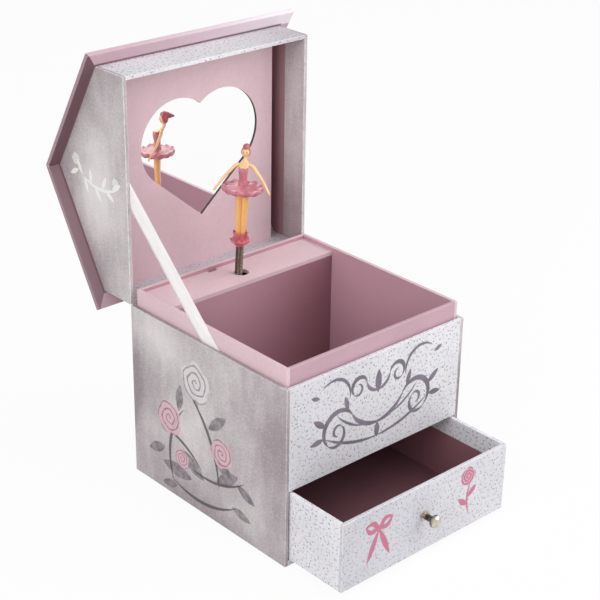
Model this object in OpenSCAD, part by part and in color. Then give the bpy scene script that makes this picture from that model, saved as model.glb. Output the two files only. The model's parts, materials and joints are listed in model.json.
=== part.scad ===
// Wind-up music box: a paper-covered board case with a gabled lid, a drawer,
// a dancer on a spring and a comb-and-cylinder movement wound by a rear key.
// Millimetres. The origin is the middle of the case's underside, +X to the right,
// +Y to the back, +Z up. The lid stands open and the drawer is part way out.

/* [Case] */
// Width of the case, left to right
case_w = 120; // [114:1:150]
// Depth of the case, front to back
case_d = 121; // [117:1:140]
// Height of the case up to the rim that the lid rests on
case_h = 98; // [96:0.5:115]
// Thickness of the outer boards
board_t = 2; // [1.5:0.1:2.5]
// Thickness of the floor board
floor_t = 3; // [2:0.1:3.5]
// Thickness of the lining boards that stand up as the collar
liner_t = 2; // [1.5:0.1:2.4]
// Gap between the outer boards and the lining at the sides and back
collar_gap = 0.4; // [0.3:0.05:0.6]
// Gap between the outer boards and the lining at the front, where the lid swings in
collar_front_gap = 0.8; // [0.7:0.05:1.2]
// Height of the collar above the rim
collar_rise = 9; // [7:0.5:10]
// Thickness of the deck over the drawer
deck_t = 2; // [1.5:0.1:2.5]

/* [Platform] */
// Drop from the collar's top edge to the platform's top
platform_drop = 2.1; // [2:0.1:4]
// Thickness of the platform and of the divider under its front edge
platform_t = 2; // [1.5:0.1:2.4]
// Clear depth of the movement bay behind the divider
bay_d = 21.2; // [20.5:0.1:26]
// Diameter of the hole that the dancer's spring stands in
spring_hole_d = 8.2; // [8.1:0.1:12]
// How far the hole's middle lies to the right of the spring
spring_hole_off = 1.85; // [0:0.05:1.9]
// Width of the notch in the platform's rear edge
notch_w = 6; // [4:0.5:10]
// Gap between the movement's top plate and the platform
platform_clear = 5.5; // [4.5:0.1:8]

/* [Drawer] */
// Thickness of the drawer's boards
drawer_t = 2; // [1.5:0.1:2.5]
// Gap between the drawer and the case at each side
drawer_side_gap = 0.9; // [0.6:0.1:1.5]
// Gap under the drawer
drawer_floor_gap = 0.4; // [0.3:0.1:0.6]
// Gap over the drawer
drawer_top_gap = 0.9; // [0.6:0.1:1.5]
// Gap behind the drawer when it is shut
drawer_back_gap = 1; // [0.5:0.1:2]
// How far the drawer is pulled out
drawer_out = 36.6; // [10:0.1:60]
// Diameter of the knob's head
knob_d = 6.6; // [5:0.1:9]
// Length of the knob
knob_l = 10; // [8:0.5:14]
// How far the knob sits to the right of the drawer front's middle
knob_x = -2; // [-5:0.5:5]
// How far the knob sits above the drawer front's middle
knob_rise = 1.4; // [-3:0.1:3]

/* [Lid] */
// Height of the lid's front and rear walls
lid_wall_h = 22.8; // [21:0.1:30]
// Rise of the gables from the eaves to the ridge
gable_rise = 35.7; // [28:0.1:42]
// Thickness of the roof boards
roof_t = 2.5; // [1.5:0.1:3.5]
// Overhang of the roof past each gable
roof_side_over = 7; // [3:0.5:10]
// Overhang of the roof past the front and rear walls
roof_eave_over = 7.3; // [3:0.1:10]
// Depth of the mirror board in from the lid's rim
mirror_depth = 17; // [16.5:0.5:19.5]
// Thickness of the mirror board
mirror_board_t = 0.8; // [0.6:0.1:2]
// Groove between the mirror board and each gable
groove_w = 8; // [4:0.5:10]
// Thickness of the mirror glass
glass_t = 1; // [0.8:0.1:1.5]
// Half of the heart cut-out's width
heart_half_w = 38.7; // [30:0.1:42]
// Height of the heart cut-out from its tip to the top of its lobes
heart_h = 67.6; // [55:0.1:75]

/* [Ribbon] */
// Width of the stay ribbon
ribbon_w = 10; // [6:0.2:12]
// Thickness of the stay ribbon
ribbon_t = 0.25; // [0.2:0.01:0.28]

/* [Dancer] */
// Outer diameter of the coil spring
spring_d = 4.2; // [3.2:0.1:4.4]
// Height of the spring above the platform
spring_h = 15.5; // [14:0.5:18]
// Lean of the spring from upright, in degrees
lean = 2.6; // [0:0.2:4]
// Height of the dancer above the spring
dancer_h = 56.4; // [50:0.2:60]
// Diameter of the tutu
tutu_d = 21.8; // [18:0.2:24]

/* [Movement] */
// Distance of the cylinder's axis in front of the bedplate
cylinder_off = 10.8; // [10.8:0.1:11.2]
// Diameter of the pinned cylinder
cylinder_d = 12.6; // [11:0.1:12.8]
// Thickness of the bedplate
bedplate_t = 1.7; // [1.2:0.1:2]
// Number of comb teeth
comb_teeth = 18; // [12:1:18]
// Span of the winding key's wings
key_span = 21; // [16:1:26]
// Diameter of the winding arbor
arbor_d = 3; // [2.6:0.1:3.2]
// Radial running clearance of the shafts in their bores
run_gap = 0.05; // [0.03:0.01:0.09]

/* [Hidden] */

eps = 0.01;

// Heights within the movement, one above the other from its foot
cyl_up = 25;                           // foot to the cylinder
cyl_h = 16.5;
gear_gap = 0.3;                        // cylinder to its gear
gear_h = 1.2;
plate_gap = 0.5;                       // gear to the governor's low plate
frame_h = 6;                           // low plate's underside to the top plate's
top_plate_t = 1.4;
movement_h = cyl_up + cyl_h + gear_gap + gear_h + plate_gap + frame_h + top_plate_t;
foot_gap = 2.2;                        // deck to the movement's foot

// Case, from the rim down: the platform, the movement under it, the deck, then the drawer
half_w = case_w / 2;
half_d = case_d / 2;
in_w = half_w - board_t;               // inner face of the side walls
in_d = half_d - board_t;               // inner face of the front panel and rear wall
liner_out_w = in_w - collar_gap;
liner_in_w = liner_out_w - liner_t;
liner_out_back = in_d - collar_gap;
liner_in_back = liner_out_back - liner_t;
liner_out_front = in_d - collar_front_gap;
liner_in_front = liner_out_front - liner_t;
collar_top = case_h + collar_rise;
platform_top = collar_top - platform_drop;
platform_z = platform_top - platform_t;
bed_z = platform_z - platform_clear - movement_h;
deck_top = bed_z - foot_gap;
deck_z = deck_top - deck_t;

// Platform and divider
divider_y = liner_in_back - bay_d;     // rear face of the divider
platform_front = divider_y - platform_t;
notch_x = -10.2;
notch_d = 2;

// Drawer
drawer_half_w = in_w - drawer_side_gap;
drawer_z = floor_t + drawer_floor_gap;
drawer_top = deck_z - drawer_top_gap;
drawer_h = drawer_top - drawer_z;
drawer_front_y = -half_d - drawer_out;
drawer_len = half_d + in_d - drawer_back_gap;
drawer_bottom_t = 1.5;
knob_z = drawer_z + drawer_h / 2 + knob_rise;
knob_neck_r = knob_d * 0.25;
knob_base_t = 1;
knob_head_t = 3.2;
knob_screw_r = 1;
knob_screw_head_r = 2.4;
knob_screw_head_t = 1;
knob_thread_l = 4;

// Lid, drawn shut and then swung open about its hinge
lid_open = 90;
hinge_y = half_d;
hinge_z = case_h;
eave_z = case_h + lid_wall_h;
roof_slope = atan(gable_rise / half_d);
roof_run = (half_d + roof_eave_over) / cos(roof_slope);
mirror_z = case_h + mirror_depth;      // face of the mirror board when the lid is shut
board_half_w = in_w - groove_w;
tray_h = 12;                           // height of the mirror board's folded sides
tray_clear = 1.5;                      // gap from the folded sides to the roof
tray_end_h = eave_z + board_t * tan(roof_slope) - mirror_z - tray_clear;
tray_end = (tray_h - tray_end_h) / tan(roof_slope);
glass_margin = 5;
strip_t = 0.4;
strip_h = 14;

// Heart: two lobes and a tip, drawn about x = 0 with its tip at y = 0
heart_x = 0.6;
heart_r = heart_half_w * 0.612;
heart_cx = heart_half_w - heart_r;
heart_cy = heart_h - heart_r;
heart_tip_off = 29.1;                  // from the lid's rim plane at the hinge to the tip
heart_reach = sqrt(heart_cx * heart_cx + heart_cy * heart_cy);
heart_tilt = atan2(heart_cx, heart_cy) + asin(heart_r / heart_reach);
heart_side = sqrt(heart_reach * heart_reach - heart_r * heart_r);

// Stay ribbon, between the left collar slot and the lid's left gable
ribbon_x = -in_w + (collar_gap - ribbon_t) / 2;
ribbon_foot = [-5.4, 4];                // Y, and depth below the rim
ribbon_head = [4, 62.8];               // past the rim's plane, and height above the rim

// Movement: bedplate upright against the rear lining
axis_x = -2;
bed_front = liner_in_back - bedplate_t;
axis_y = bed_front - cylinder_off;
bed_over = 0.6;                        // bedplate's top edge above the top plate
bed_h = movement_h + bed_over;
bed_left = -24;
bed_right = 26;
shaft_r = 1;                           // cylinder arbor
barrel_up = 12.5;                      // foot to the winding axis
barrel_z = bed_z + barrel_up;
barrel_r = 11.5;
barrel_wall = 0.7;
barrel_back = bed_front - 0.5;
crown_r = 10;
crown_teeth = 34;
crown_tooth_w = 0.55;
crown_h = 1.6;
crown_off = 3.9;
crown_root = axis_y + crown_off;       // front face of the barrel
pinion_teeth = 10;
pinion_z = barrel_z + crown_r - 1;
pinion_h = 2.2;
arbor_r = arbor_d / 2;
bridge_t = 3.6;
bridge_back = crown_root - crown_h - 0.5;
bridge_low = barrel_z - 3;
bridge_h = 9.5;
bridge_top = bridge_low + bridge_h;
bridge_over = 3.5;
bridge_half = barrel_r + bridge_over;
cyl_z = bed_z + cyl_up;
cyl_r = cylinder_d / 2;
pin_r = 0.22;
pin_h = 0.4;
gear_z = cyl_z + cyl_h + gear_gap;
gear_teeth = 36;
gear_pitch_r = 6.5;
lay_teeth = 10;
lay_pitch_r = gear_pitch_r * lay_teeth / gear_teeth;
lay_x = axis_x - gear_pitch_r - lay_pitch_r;
lay_r = 0.6;
low_plate_z = gear_z + gear_h + plate_gap;
low_plate_t = 0.9;
worm_z = low_plate_z + 2.8;
wheel_teeth = 24;
wheel_r = 5;
wheel_h = 0.9;
worm_pitch = 2 * PI * wheel_r / wheel_teeth;
worm_r = 1.15;
worm_off = 0.33;
worm_y = axis_y + wheel_r + 1.2;
worm_half = 4;
worm_shaft_r = 0.5;
top_plate_z = low_plate_z + frame_h;
top_plate_over = 5;                    // top plate's reach past the cylinder's axis
lug_t = 1;
lug_half = 1.5;
lug_a = lay_x + worm_half + 0.6;       // inner face of the lug beside the cylinder arbor
lug_b = lay_x - worm_half - 0.6;       // inner face of the lug beside the fly
fly_w = 6;
fly_r = 3.4;
fly_t = 0.5;
comb_tip = 0.6;                        // gap from the cylinder to the comb's tips
comb_t = 1;
comb_right = 24;
comb_root = 14;
comb_fill = 0.7;                       // share of the tooth pitch that is steel
comb_pitch = cyl_h / comb_teeth;
comb_screw_x = 19.5;
comb_screw_l = 5.5;                    // from the comb into the boss
comb_screw_in = 4;
comb_screw_z = [cyl_z + comb_screw_in, cyl_z + cyl_h - comb_screw_in];
boss_left = 15.5;
screw_r = 1;
screw_head_r = 1.9;
screw_head_t = 1.3;
mount_screw_r = 1.25;
mount_screw_head_r = 2.6;
mount_screw_head_t = 1.2;
screw_boss_r = 3;
screw_boss_t = 2.4;
screw_points = [[-19, 6], [21, 6], [-19, 34]];   // from the cylinder axis and the bedplate's foot
key_gap = 0.8;
key_hub_r = 2.7;
key_hub_l = 6.5;
key_t = 1.3;
key_wing_r = 4.6;
key_hole_r = 4;
escutcheon_r = 6.5;
escutcheon_hole_r = 2.6;
escutcheon_t = 0.5;
spring_turns = 7;
spring_strip = 0.35;

// Dancer, drawn upright on the spring's foot and then leaned
dancer_turn = -48;                     // turns her face to the front left
lean_to = -42.4;                       // direction of the lean about Z, from +X
spring_wire = 0.55;
spring_foot = 4;                       // length of spring below the platform's top
spindle_gap = 0.5;
ferrule_r = 2.6;
ferrule_l = 2.2;
// heights above the spring, as parts of the dancer's height
slipper_top = dancer_h * 0.1615;
leg_low = dancer_h * 0.131;
tutu_low = dancer_h * 0.544;
tutu_rim = dancer_h * 0.61;
tutu_top = dancer_h * 0.604;
waist_z = tutu_top + 0.3;
bust_z = dancer_h * 0.771;
shoulder_z = dancer_h * 0.797;
neck_z = dancer_h * 0.865;
head_z = dancer_h * 0.916;
head_r = dancer_h * 0.0455;
slipper_r = 5.3;
face_cut = [8, 5, 9];                  // block that parts the face from the hair
// She arches back: how far the shoulders, neck and head are behind the waist
shoulder_back = 2.7;
neck_back = 3;
head_at = [0.3, 2.6];
// shoulder, elbow and hand of an arm: out, back and up from the middle of the shoulders
arm_points = [[3.75, 2.7, -0.9], [10.2, 0.4, -7.6], [15.3, -3.4, -14.4]];
arm_r = [0.95, 0.85, 0.7];
coils = floor((spring_h + spring_foot - spring_wire) / spring_wire);

// ---------- helpers ----------
module block(x0, x1, y0, y1, z0, z1)
    translate([x0, y0, z0]) cube([x1 - x0, y1 - y0, z1 - z0]);

// A rod along Y from y0 to y1
module y_rod(x, z, y0, y1, r, fn = 32)
    translate([x, y1, z]) rotate([90, 0, 0]) cylinder(r = r, h = y1 - y0, $fn = fn);

// A rod along Z from z0 to z1
module z_rod(x, y, z0, z1, r, fn = 32)
    translate([x, y, z0]) cylinder(r = r, h = z1 - z0, $fn = fn);

// A rod along X from x0 to x1
module x_rod(y, z, x0, x1, r, fn = 32)
    translate([x0, y, z]) rotate([0, 90, 0]) cylinder(r = r, h = x1 - x0, $fn = fn);

// Flat toothed wheel about Z; the first tooth points along +X
module spur(teeth, root_r, tip_r, root_w, tip_w, h)
    linear_extrude(height = h) union() {
        circle(r = root_r, $fn = 48);
        for (i = [0 : teeth - 1]) rotate(i * 360 / teeth)
            polygon([[root_r - 0.3, -root_w / 2], [tip_r, -tip_w / 2],
                     [tip_r, tip_w / 2], [root_r - 0.3, root_w / 2]]);
    }

// Swings what is drawn for the shut lid to where it stands open
module swung()
    translate([0, hinge_y, hinge_z]) rotate([-lid_open, 0, 0])
    translate([0, -hinge_y, -hinge_z]) children();

// Leans what stands on the spring's foot, given from the platform's top
module leaned()
    translate([axis_x, axis_y, platform_top])
    rotate([0, 0, lean_to]) rotate([0, lean, 0]) rotate([0, 0, -lean_to]) children();

// Turns and lifts what is drawn from the top of the spring with the face to -Y
module dancer_body()
    leaned() translate([0, 0, spring_h]) rotate([0, 0, dancer_turn]) children();

// ---------- case ----------
module floor_board() color("lavender")
    block(-in_w, in_w, -half_d, in_d, 0, floor_t);

module side_wall(x0)
    block(x0, x0 + board_t, -half_d, half_d, 0, case_h);

module left_wall() color("silver") side_wall(-half_w);

module right_wall() color("silver") side_wall(half_w - board_t);

module rear_wall() color("silver") difference() {
    block(-in_w, in_w, in_d, half_d, 0, case_h);
    y_rod(axis_x, barrel_z, in_d - 1, half_d + 1, key_hole_r);
    for (p = screw_points)
        y_rod(axis_x + p[0], bed_z + p[1], in_d - 1, half_d + 1, mount_screw_r + run_gap);
}

module front_panel() color("lavender")
    block(-in_w, in_w, -half_d, -in_d, deck_z, case_h);

module deck() color("thistle")
    block(-in_w, in_w, -in_d, in_d, deck_z, deck_top);

module liner_side(x0)
    block(x0, x0 + liner_t, -liner_out_front, liner_out_back, deck_top, collar_top);

module liner_left() color("thistle") liner_side(-liner_out_w);

module liner_right() color("thistle") liner_side(liner_in_w);

module liner_front() color("thistle")
    block(-liner_in_w, liner_in_w, -liner_out_front, -liner_in_front, deck_top, collar_top);

module liner_rear() color("thistle") difference() {
    block(-liner_in_w, liner_in_w, liner_in_back, liner_out_back, deck_top, collar_top);
    y_rod(axis_x, barrel_z, liner_in_back - 1, liner_out_back + 1, key_hole_r);
    for (p = screw_points)
        y_rod(axis_x + p[0], bed_z + p[1], liner_in_back - 1, liner_out_back + 1,
              mount_screw_r + run_gap);
}

module divider() color("thistle")
    block(-liner_in_w, liner_in_w, platform_front, divider_y, deck_top, platform_z);

module platform() color("thistle") difference() {
    block(-liner_in_w, liner_in_w, platform_front, liner_in_back, platform_z, platform_top);
    z_rod(axis_x + spring_hole_off, axis_y, platform_z - 1, platform_top + 1, spring_hole_d / 2);
    block(notch_x - notch_w / 2, notch_x + notch_w / 2, liner_in_back - notch_d,
          liner_in_back + 1, platform_z - 1, platform_top + 1);
}

module hinge_strip() color("gray")
    block(-in_w, in_w, half_d, half_d + strip_t, case_h - strip_t - strip_h, case_h - strip_t - 0.1);

module key_escutcheon() color("gold") difference() {
    y_rod(axis_x, barrel_z, half_d, half_d + escutcheon_t, escutcheon_r, 48);
    y_rod(axis_x, barrel_z, half_d - 1, half_d + escutcheon_t + 1, escutcheon_hole_r);
}

// ---------- drawer ----------
module drawer_side(x0)
    block(x0, x0 + drawer_t, drawer_front_y + drawer_t, drawer_front_y + drawer_len,
          drawer_z, drawer_top);

module drawer_front() color("lavender") difference() {
    block(-drawer_half_w, drawer_half_w, drawer_front_y, drawer_front_y + drawer_t,
          drawer_z, drawer_top);
    y_rod(knob_x, knob_z, drawer_front_y - 1, drawer_front_y + drawer_t + 1, knob_screw_r + run_gap);
}

module drawer_left() color("whitesmoke") drawer_side(-drawer_half_w);

module drawer_right() color("whitesmoke") drawer_side(drawer_half_w - drawer_t);

module drawer_back() color("whitesmoke")
    block(-drawer_half_w + drawer_t, drawer_half_w - drawer_t,
          drawer_front_y + drawer_len - drawer_t, drawer_front_y + drawer_len,
          drawer_z, drawer_top);

module drawer_bottom() color("purple")
    block(-drawer_half_w + drawer_t, drawer_half_w - drawer_t,
          drawer_front_y + drawer_t, drawer_front_y + drawer_len - drawer_t,
          drawer_z, drawer_z + drawer_bottom_t);

// Turned knob: foot, neck and domed head on one axis, with a blind screw hole
module knob() color("gold") translate([knob_x, drawer_front_y, knob_z]) rotate([90, 0, 0])
    difference() {
        union() {
            cylinder(r = knob_d * 0.4, h = knob_base_t, $fn = 32);
            cylinder(r = knob_neck_r, h = knob_l - knob_head_t / 2, $fn = 32);
            translate([0, 0, knob_l - knob_head_t]) intersection() {
                cylinder(r = knob_d / 2, h = knob_head_t, $fn = 48);
                translate([0, 0, knob_head_t - knob_d * 0.68]) sphere(r = knob_d * 0.68, $fn = 48);
            }
        }
        translate([0, 0, -1]) cylinder(r = knob_screw_r + run_gap, h = knob_thread_l + 1.3, $fn = 24);
    }

module knob_screw() color("silver") union() {
    y_rod(knob_x, knob_z, drawer_front_y - knob_thread_l, drawer_front_y + drawer_t + eps, knob_screw_r, 24);
    y_rod(knob_x, knob_z, drawer_front_y + drawer_t, drawer_front_y + drawer_t + knob_screw_head_t,
          knob_screw_head_r);
}

// ---------- lid ----------
// Outline of a gable in Y and Z, with the lid shut
module gable_outline(grow = 0) polygon([
    [-half_d, case_h], [half_d, case_h], [half_d, eave_z],
    [0, eave_z + gable_rise], [-half_d, eave_z]]);

// Stands a Y-Z outline up at x0 with thickness t
module upright(x0, t)
    translate([x0, 0, 0]) rotate([90, 0, 90]) linear_extrude(height = t) children();

module lid_left() color("silver") swung() upright(-half_w, board_t) gable_outline();

module lid_right() color("silver") swung() upright(half_w - board_t, board_t) gable_outline();

// Lid wall at the front (side -1) or the rear (side 1); its top follows the roof
module lid_wall(side) upright(-in_w, 2 * in_w) polygon([
    [side * half_d, case_h], [side * half_d, eave_z],
    [side * in_d, eave_z + board_t * tan(roof_slope)], [side * in_d, case_h]]);

module lid_front() color("lavender") swung() lid_wall(-1);

module lid_rear() color("silver") swung() lid_wall(1);

// One roof board, mitred at the ridge and cut square at the eave
module roof_board(side) upright(-half_w - roof_side_over, case_w + 2 * roof_side_over) polygon([
    [0, eave_z + gable_rise],
    [side * roof_run * cos(roof_slope), eave_z + gable_rise - roof_run * sin(roof_slope)],
    [side * (roof_run * cos(roof_slope) + roof_t * sin(roof_slope)),
     eave_z + gable_rise - roof_run * sin(roof_slope) + roof_t * cos(roof_slope)],
    [0, eave_z + gable_rise + roof_t / cos(roof_slope)]]);

module roof_front() color("pink") swung() roof_board(-1);

module roof_rear() color("pink") swung() roof_board(1);

// Heart with its tip at the origin, lobes towards +Y
module heart() union() {
    translate([heart_cx, heart_cy]) circle(r = heart_r, $fn = 96);
    translate([-heart_cx, heart_cy]) circle(r = heart_r, $fn = 96);
    polygon([[0, 0],
        [heart_side * sin(heart_tilt), heart_side * cos(heart_tilt)],
        [heart_cx, heart_cy], [-heart_cx, heart_cy],
        [-heart_side * sin(heart_tilt), heart_side * cos(heart_tilt)]]);
    polygon([[-heart_cx, heart_cy], [heart_cx, heart_cy],
        [0, heart_cy + sqrt(heart_r * heart_r - heart_cx * heart_cx)]]);
}

// Mirror board: a tray with its sides folded up into the roof space
module mirror_board() color("thistle") swung() union() {
    translate([0, 0, mirror_z]) linear_extrude(height = mirror_board_t) difference() {
        translate([-board_half_w, -in_d]) square([2 * board_half_w, 2 * in_d]);
        translate([heart_x, half_d - heart_tip_off]) rotate(180) heart();
    }
    for (x0 = [-board_half_w, board_half_w - mirror_board_t]) upright(x0, mirror_board_t) polygon([
        [-in_d, mirror_z], [in_d, mirror_z], [in_d, mirror_z + tray_end_h],
        [in_d - tray_end, mirror_z + tray_h], [-in_d + tray_end, mirror_z + tray_h],
        [-in_d, mirror_z + tray_end_h]]);
}

module mirror_glass() color("lightcyan") swung()
    translate([heart_x - heart_half_w - glass_margin,
               half_d - heart_tip_off - heart_h - glass_margin, mirror_z + mirror_board_t])
    cube([2 * (heart_half_w + glass_margin), heart_h + 2 * glass_margin, glass_t]);

module hinge_strip_lid() color("gray") swung()
    block(-in_w, in_w, half_d, half_d + strip_t, case_h + strip_t, case_h + strip_t + strip_h);

// Stay ribbon from the left collar slot up to the lid's left gable
module stay_ribbon() color("mistyrose") upright(ribbon_x, ribbon_t) union() {
    rise = ribbon_head[1] + ribbon_foot[1];
    run = half_d + ribbon_head[0] - ribbon_foot[0];
    slope = atan2(rise, run);
    half_cut = ribbon_w / 2;
    polygon([[ribbon_foot[0] - half_cut / sin(slope), case_h - ribbon_foot[1]],
        [ribbon_foot[0] + half_cut / sin(slope), case_h - ribbon_foot[1]],
        [half_d + ribbon_head[0], case_h + ribbon_head[1] - half_cut / cos(slope)],
        [half_d + ribbon_head[0], case_h + ribbon_head[1] + half_cut / cos(slope)]]);
}

// ---------- movement ----------
module bedplate() color("silver") difference() {
    union() {
        block(bed_left, bed_right, bed_front, liner_in_back, bed_z, bed_z + bed_h);
        block(boss_left, comb_right - 0.5, axis_y + comb_t / 2, bed_front + eps,
              cyl_z + 0.5, cyl_z + cyl_h);
        for (p = screw_points)
            y_rod(axis_x + p[0], bed_z + p[1], bed_front - screw_boss_t, bed_front + eps, screw_boss_r);
    }
    y_rod(axis_x, barrel_z, bed_front - 1, liner_in_back + 1, arbor_r + run_gap);
    for (z = comb_screw_z)
        y_rod(comb_screw_x, z, axis_y + comb_t / 2 - 1, axis_y + comb_screw_l + 0.5, screw_r + run_gap, 24);
    for (p = screw_points)
        y_rod(axis_x + p[0], bed_z + p[1], bed_front - 0.6, liner_in_back + 1,
              mount_screw_r + run_gap);
}

module movement_screws() color("silver") for (p = screw_points) union() {
    y_rod(axis_x + p[0], bed_z + p[1], bed_front - 0.5, half_d + eps, mount_screw_r, 24);
    difference() {
        y_rod(axis_x + p[0], bed_z + p[1], half_d, half_d + mount_screw_head_t, mount_screw_head_r);
        for (turn = [0, 90]) translate([axis_x + p[0], half_d + mount_screw_head_t, bed_z + p[1]])
            rotate([0, turn, 0]) cube([3, 1.2, 0.7], center = true);
    }
}

// Bridge in front of the barrel: carries the cylinder's foot and the winding arbor's tip
module barrel_bridge() color("silver") difference() {
    union() {
        block(axis_x - bridge_half, axis_x + bridge_half, bridge_back - bridge_t, bridge_back,
              bridge_low, bridge_top);
        for (side = [-1, 1])
            translate([axis_x + side * (bridge_half - 1.2) - 1.2, bridge_back - 1, bridge_low])
            cube([2.4, bed_front - bridge_back + 1, bridge_top - bridge_low]);
    }
    y_rod(axis_x, barrel_z, bridge_back - 1.8, bridge_back + 1, shaft_r + run_gap);
    z_rod(axis_x, axis_y, bridge_top - 2, bridge_top + 1, shaft_r + run_gap);
}

// Governor casting: two bearing plates and two lugs for the worm
module governor_frame() color("silver") difference() {
    union() {
        block(lug_b - lug_t, lug_a + lug_t, axis_y - 1.8, bed_front, low_plate_z,
              low_plate_z + low_plate_t);
        block(lug_b - lug_t, axis_x + top_plate_over, axis_y - 2.6, bed_front, top_plate_z,
              top_plate_z + top_plate_t);
        for (x0 = [lug_a, lug_b - lug_t])
            block(x0, x0 + lug_t, worm_y - lug_half, worm_y + lug_half, low_plate_z, top_plate_z + eps);
    }
    z_rod(axis_x, axis_y, top_plate_z - 1, top_plate_z + top_plate_t + 1, shaft_r + run_gap);
    z_rod(lay_x, axis_y, low_plate_z - 1, top_plate_z + top_plate_t + 1, lay_r + run_gap);
    x_rod(worm_y, worm_z, lug_b - lug_t - 1, lug_a + lug_t + 1, worm_shaft_r + run_gap, 24);
}

// Steel comb: one tooth for each note, tips just clear of the cylinder
module comb() color("gainsboro") difference() {
    union() {
        block(comb_root, comb_right, axis_y - comb_t / 2, axis_y + comb_t / 2, cyl_z, cyl_z + cyl_h);
        for (i = [0 : comb_teeth - 1])
            block(axis_x + cyl_r + comb_tip, comb_root + eps, axis_y - comb_t / 4, axis_y + comb_t / 4,
                  cyl_z + (i + (1 - comb_fill) / 2) * comb_pitch,
                  cyl_z + (i + (1 + comb_fill) / 2) * comb_pitch);
    }
    for (z = comb_screw_z)
        y_rod(comb_screw_x, z, axis_y - comb_t, axis_y + comb_t, screw_r + run_gap, 24);
}

module comb_screws() color("dimgray") for (z = comb_screw_z) union() {
    y_rod(comb_screw_x, z, axis_y - comb_t / 2 - eps, axis_y + comb_screw_l, screw_r, 24);
    y_rod(comb_screw_x, z, axis_y - comb_t / 2 - screw_head_t, axis_y - comb_t / 2, screw_head_r);
}

// Spring barrel: a cup open to the back, with crown teeth on its front face
module spring_barrel() color("goldenrod") difference() {
    union() {
        y_rod(axis_x, barrel_z, crown_root, barrel_back - barrel_wall, barrel_r, 64);
        for (i = [0 : crown_teeth - 1]) translate([axis_x, 0, barrel_z])
            rotate([0, i * 360 / crown_teeth, 0])
            translate([-crown_tooth_w / 2, crown_root - crown_h, crown_r - 1])
            cube([crown_tooth_w, crown_h + 0.2, 2]);
    }
    y_rod(axis_x, barrel_z, crown_root + barrel_wall, barrel_back + 1, barrel_r - barrel_wall, 64);
    y_rod(axis_x, barrel_z, crown_root - 1, barrel_back + 1, arbor_r + run_gap);
}

module barrel_cover() color("goldenrod") difference() {
    y_rod(axis_x, barrel_z, barrel_back - barrel_wall, barrel_back, barrel_r, 64);
    y_rod(axis_x, barrel_z, barrel_back - 2, barrel_back + 1, arbor_r + run_gap);
}

// Radius of the mainspring's strip after t turns
function spiral_r(t, off) = arbor_r + 0.9 + off
    + t * (barrel_r - barrel_wall - arbor_r - 1.4 - spring_strip) / spring_turns;
// Mainspring: a flat strip wound in a spiral inside the barrel
module mainspring() color("slategray")
    translate([axis_x, barrel_back - barrel_wall - 0.4, barrel_z]) rotate([90, 0, 0])
    linear_extrude(height = barrel_back - crown_root - 2 * barrel_wall - 0.8)
    polygon(concat(
        [for (i = [0 : 20 * spring_turns]) let (t = i / 20)
            [spiral_r(t, 0) * cos(360 * t), spiral_r(t, 0) * sin(360 * t)]],
        [for (i = [20 * spring_turns : -1 : 0]) let (t = i / 20)
            [spiral_r(t, spring_strip) * cos(360 * t), spiral_r(t, spring_strip) * sin(360 * t)]]));

// Winding arbor from the bridge out to the key
module winding_arbor() color("silver") union() {
    y_rod(axis_x, barrel_z, bridge_back - 1.6, crown_root, shaft_r);
    y_rod(axis_x, barrel_z, crown_root - eps, half_d + key_gap + 1.5, arbor_r);
    y_rod(axis_x, barrel_z, half_d + key_gap, half_d + key_gap + key_hub_l - 1, arbor_r - 0.3);
}

// Butterfly key: hub with two pierced wings
module key() color("gold") difference() {
    union() {
        y_rod(axis_x, barrel_z, half_d + key_gap, half_d + key_gap + key_hub_l, key_hub_r);
        for (side = [-1, 1]) translate([axis_x, half_d + key_gap + key_hub_l - 1.5, barrel_z])
            rotate([90, 0, 90]) translate([0, 0, -key_t / 2]) linear_extrude(height = key_t) union() {
                translate([key_wing_r * 0.5, side * (key_span / 2 - key_wing_r)])
                    circle(r = key_wing_r, $fn = 48);
                polygon([[-2.4, 0], [-0.8, side * (key_span / 2 - key_wing_r)],
                         [key_wing_r * 0.5 + 2, side * (key_span / 2 - key_wing_r)], [2.4, 0]]);
            }
    }
    y_rod(axis_x, barrel_z, half_d + key_gap - 1, half_d + key_gap + 1.5, arbor_r + run_gap);
    y_rod(axis_x, barrel_z, half_d + key_gap - 1, half_d + key_gap + key_hub_l - 0.8,
          arbor_r - 0.3 + run_gap);
    for (side = [-1, 1]) translate([axis_x - key_t, half_d + key_gap + key_hub_l - 1.5 + key_wing_r * 0.5,
            barrel_z + side * (key_span / 2 - key_wing_r)])
        rotate([0, 90, 0]) cylinder(r = key_wing_r * 0.45, h = 2 * key_t, $fn = 32);
}

// Pinned cylinder: one tune's worth of short pins in rings under the comb's teeth
module pin_cylinder() color("goldenrod") difference() {
    union() {
        z_rod(axis_x, axis_y, cyl_z, cyl_z + cyl_h, cyl_r, 64);
        for (i = [0 : comb_teeth - 1], k = [0 : 1])
            translate([axis_x, axis_y, cyl_z + (i + 0.5) * comb_pitch])
            rotate([0, 0, 40 + (i * 67 + k * 151) % 280]) translate([cyl_r - 0.5, -pin_r, -pin_r])
            cube([0.5 + pin_h, 2 * pin_r, 2 * pin_r]);
    }
    z_rod(axis_x, axis_y, cyl_z - 1, cyl_z + cyl_h + 1, shaft_r);
}

module cylinder_pinion() color("silver") difference() {
    translate([axis_x, axis_y, pinion_z])
        spur(pinion_teeth, 2.2, 3.4, 0.75, 0.4, pinion_h);
    z_rod(axis_x, axis_y, pinion_z - 1, pinion_z + pinion_h + 1, shaft_r);
}

module cylinder_gear() color("goldenrod") difference() {
    translate([axis_x, axis_y, gear_z])
        spur(gear_teeth, gear_pitch_r - 0.3, gear_pitch_r + 0.25, 0.55, 0.3, gear_h);
    z_rod(axis_x, axis_y, gear_z - 1, gear_z + gear_h + 1, shaft_r);
}

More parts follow.
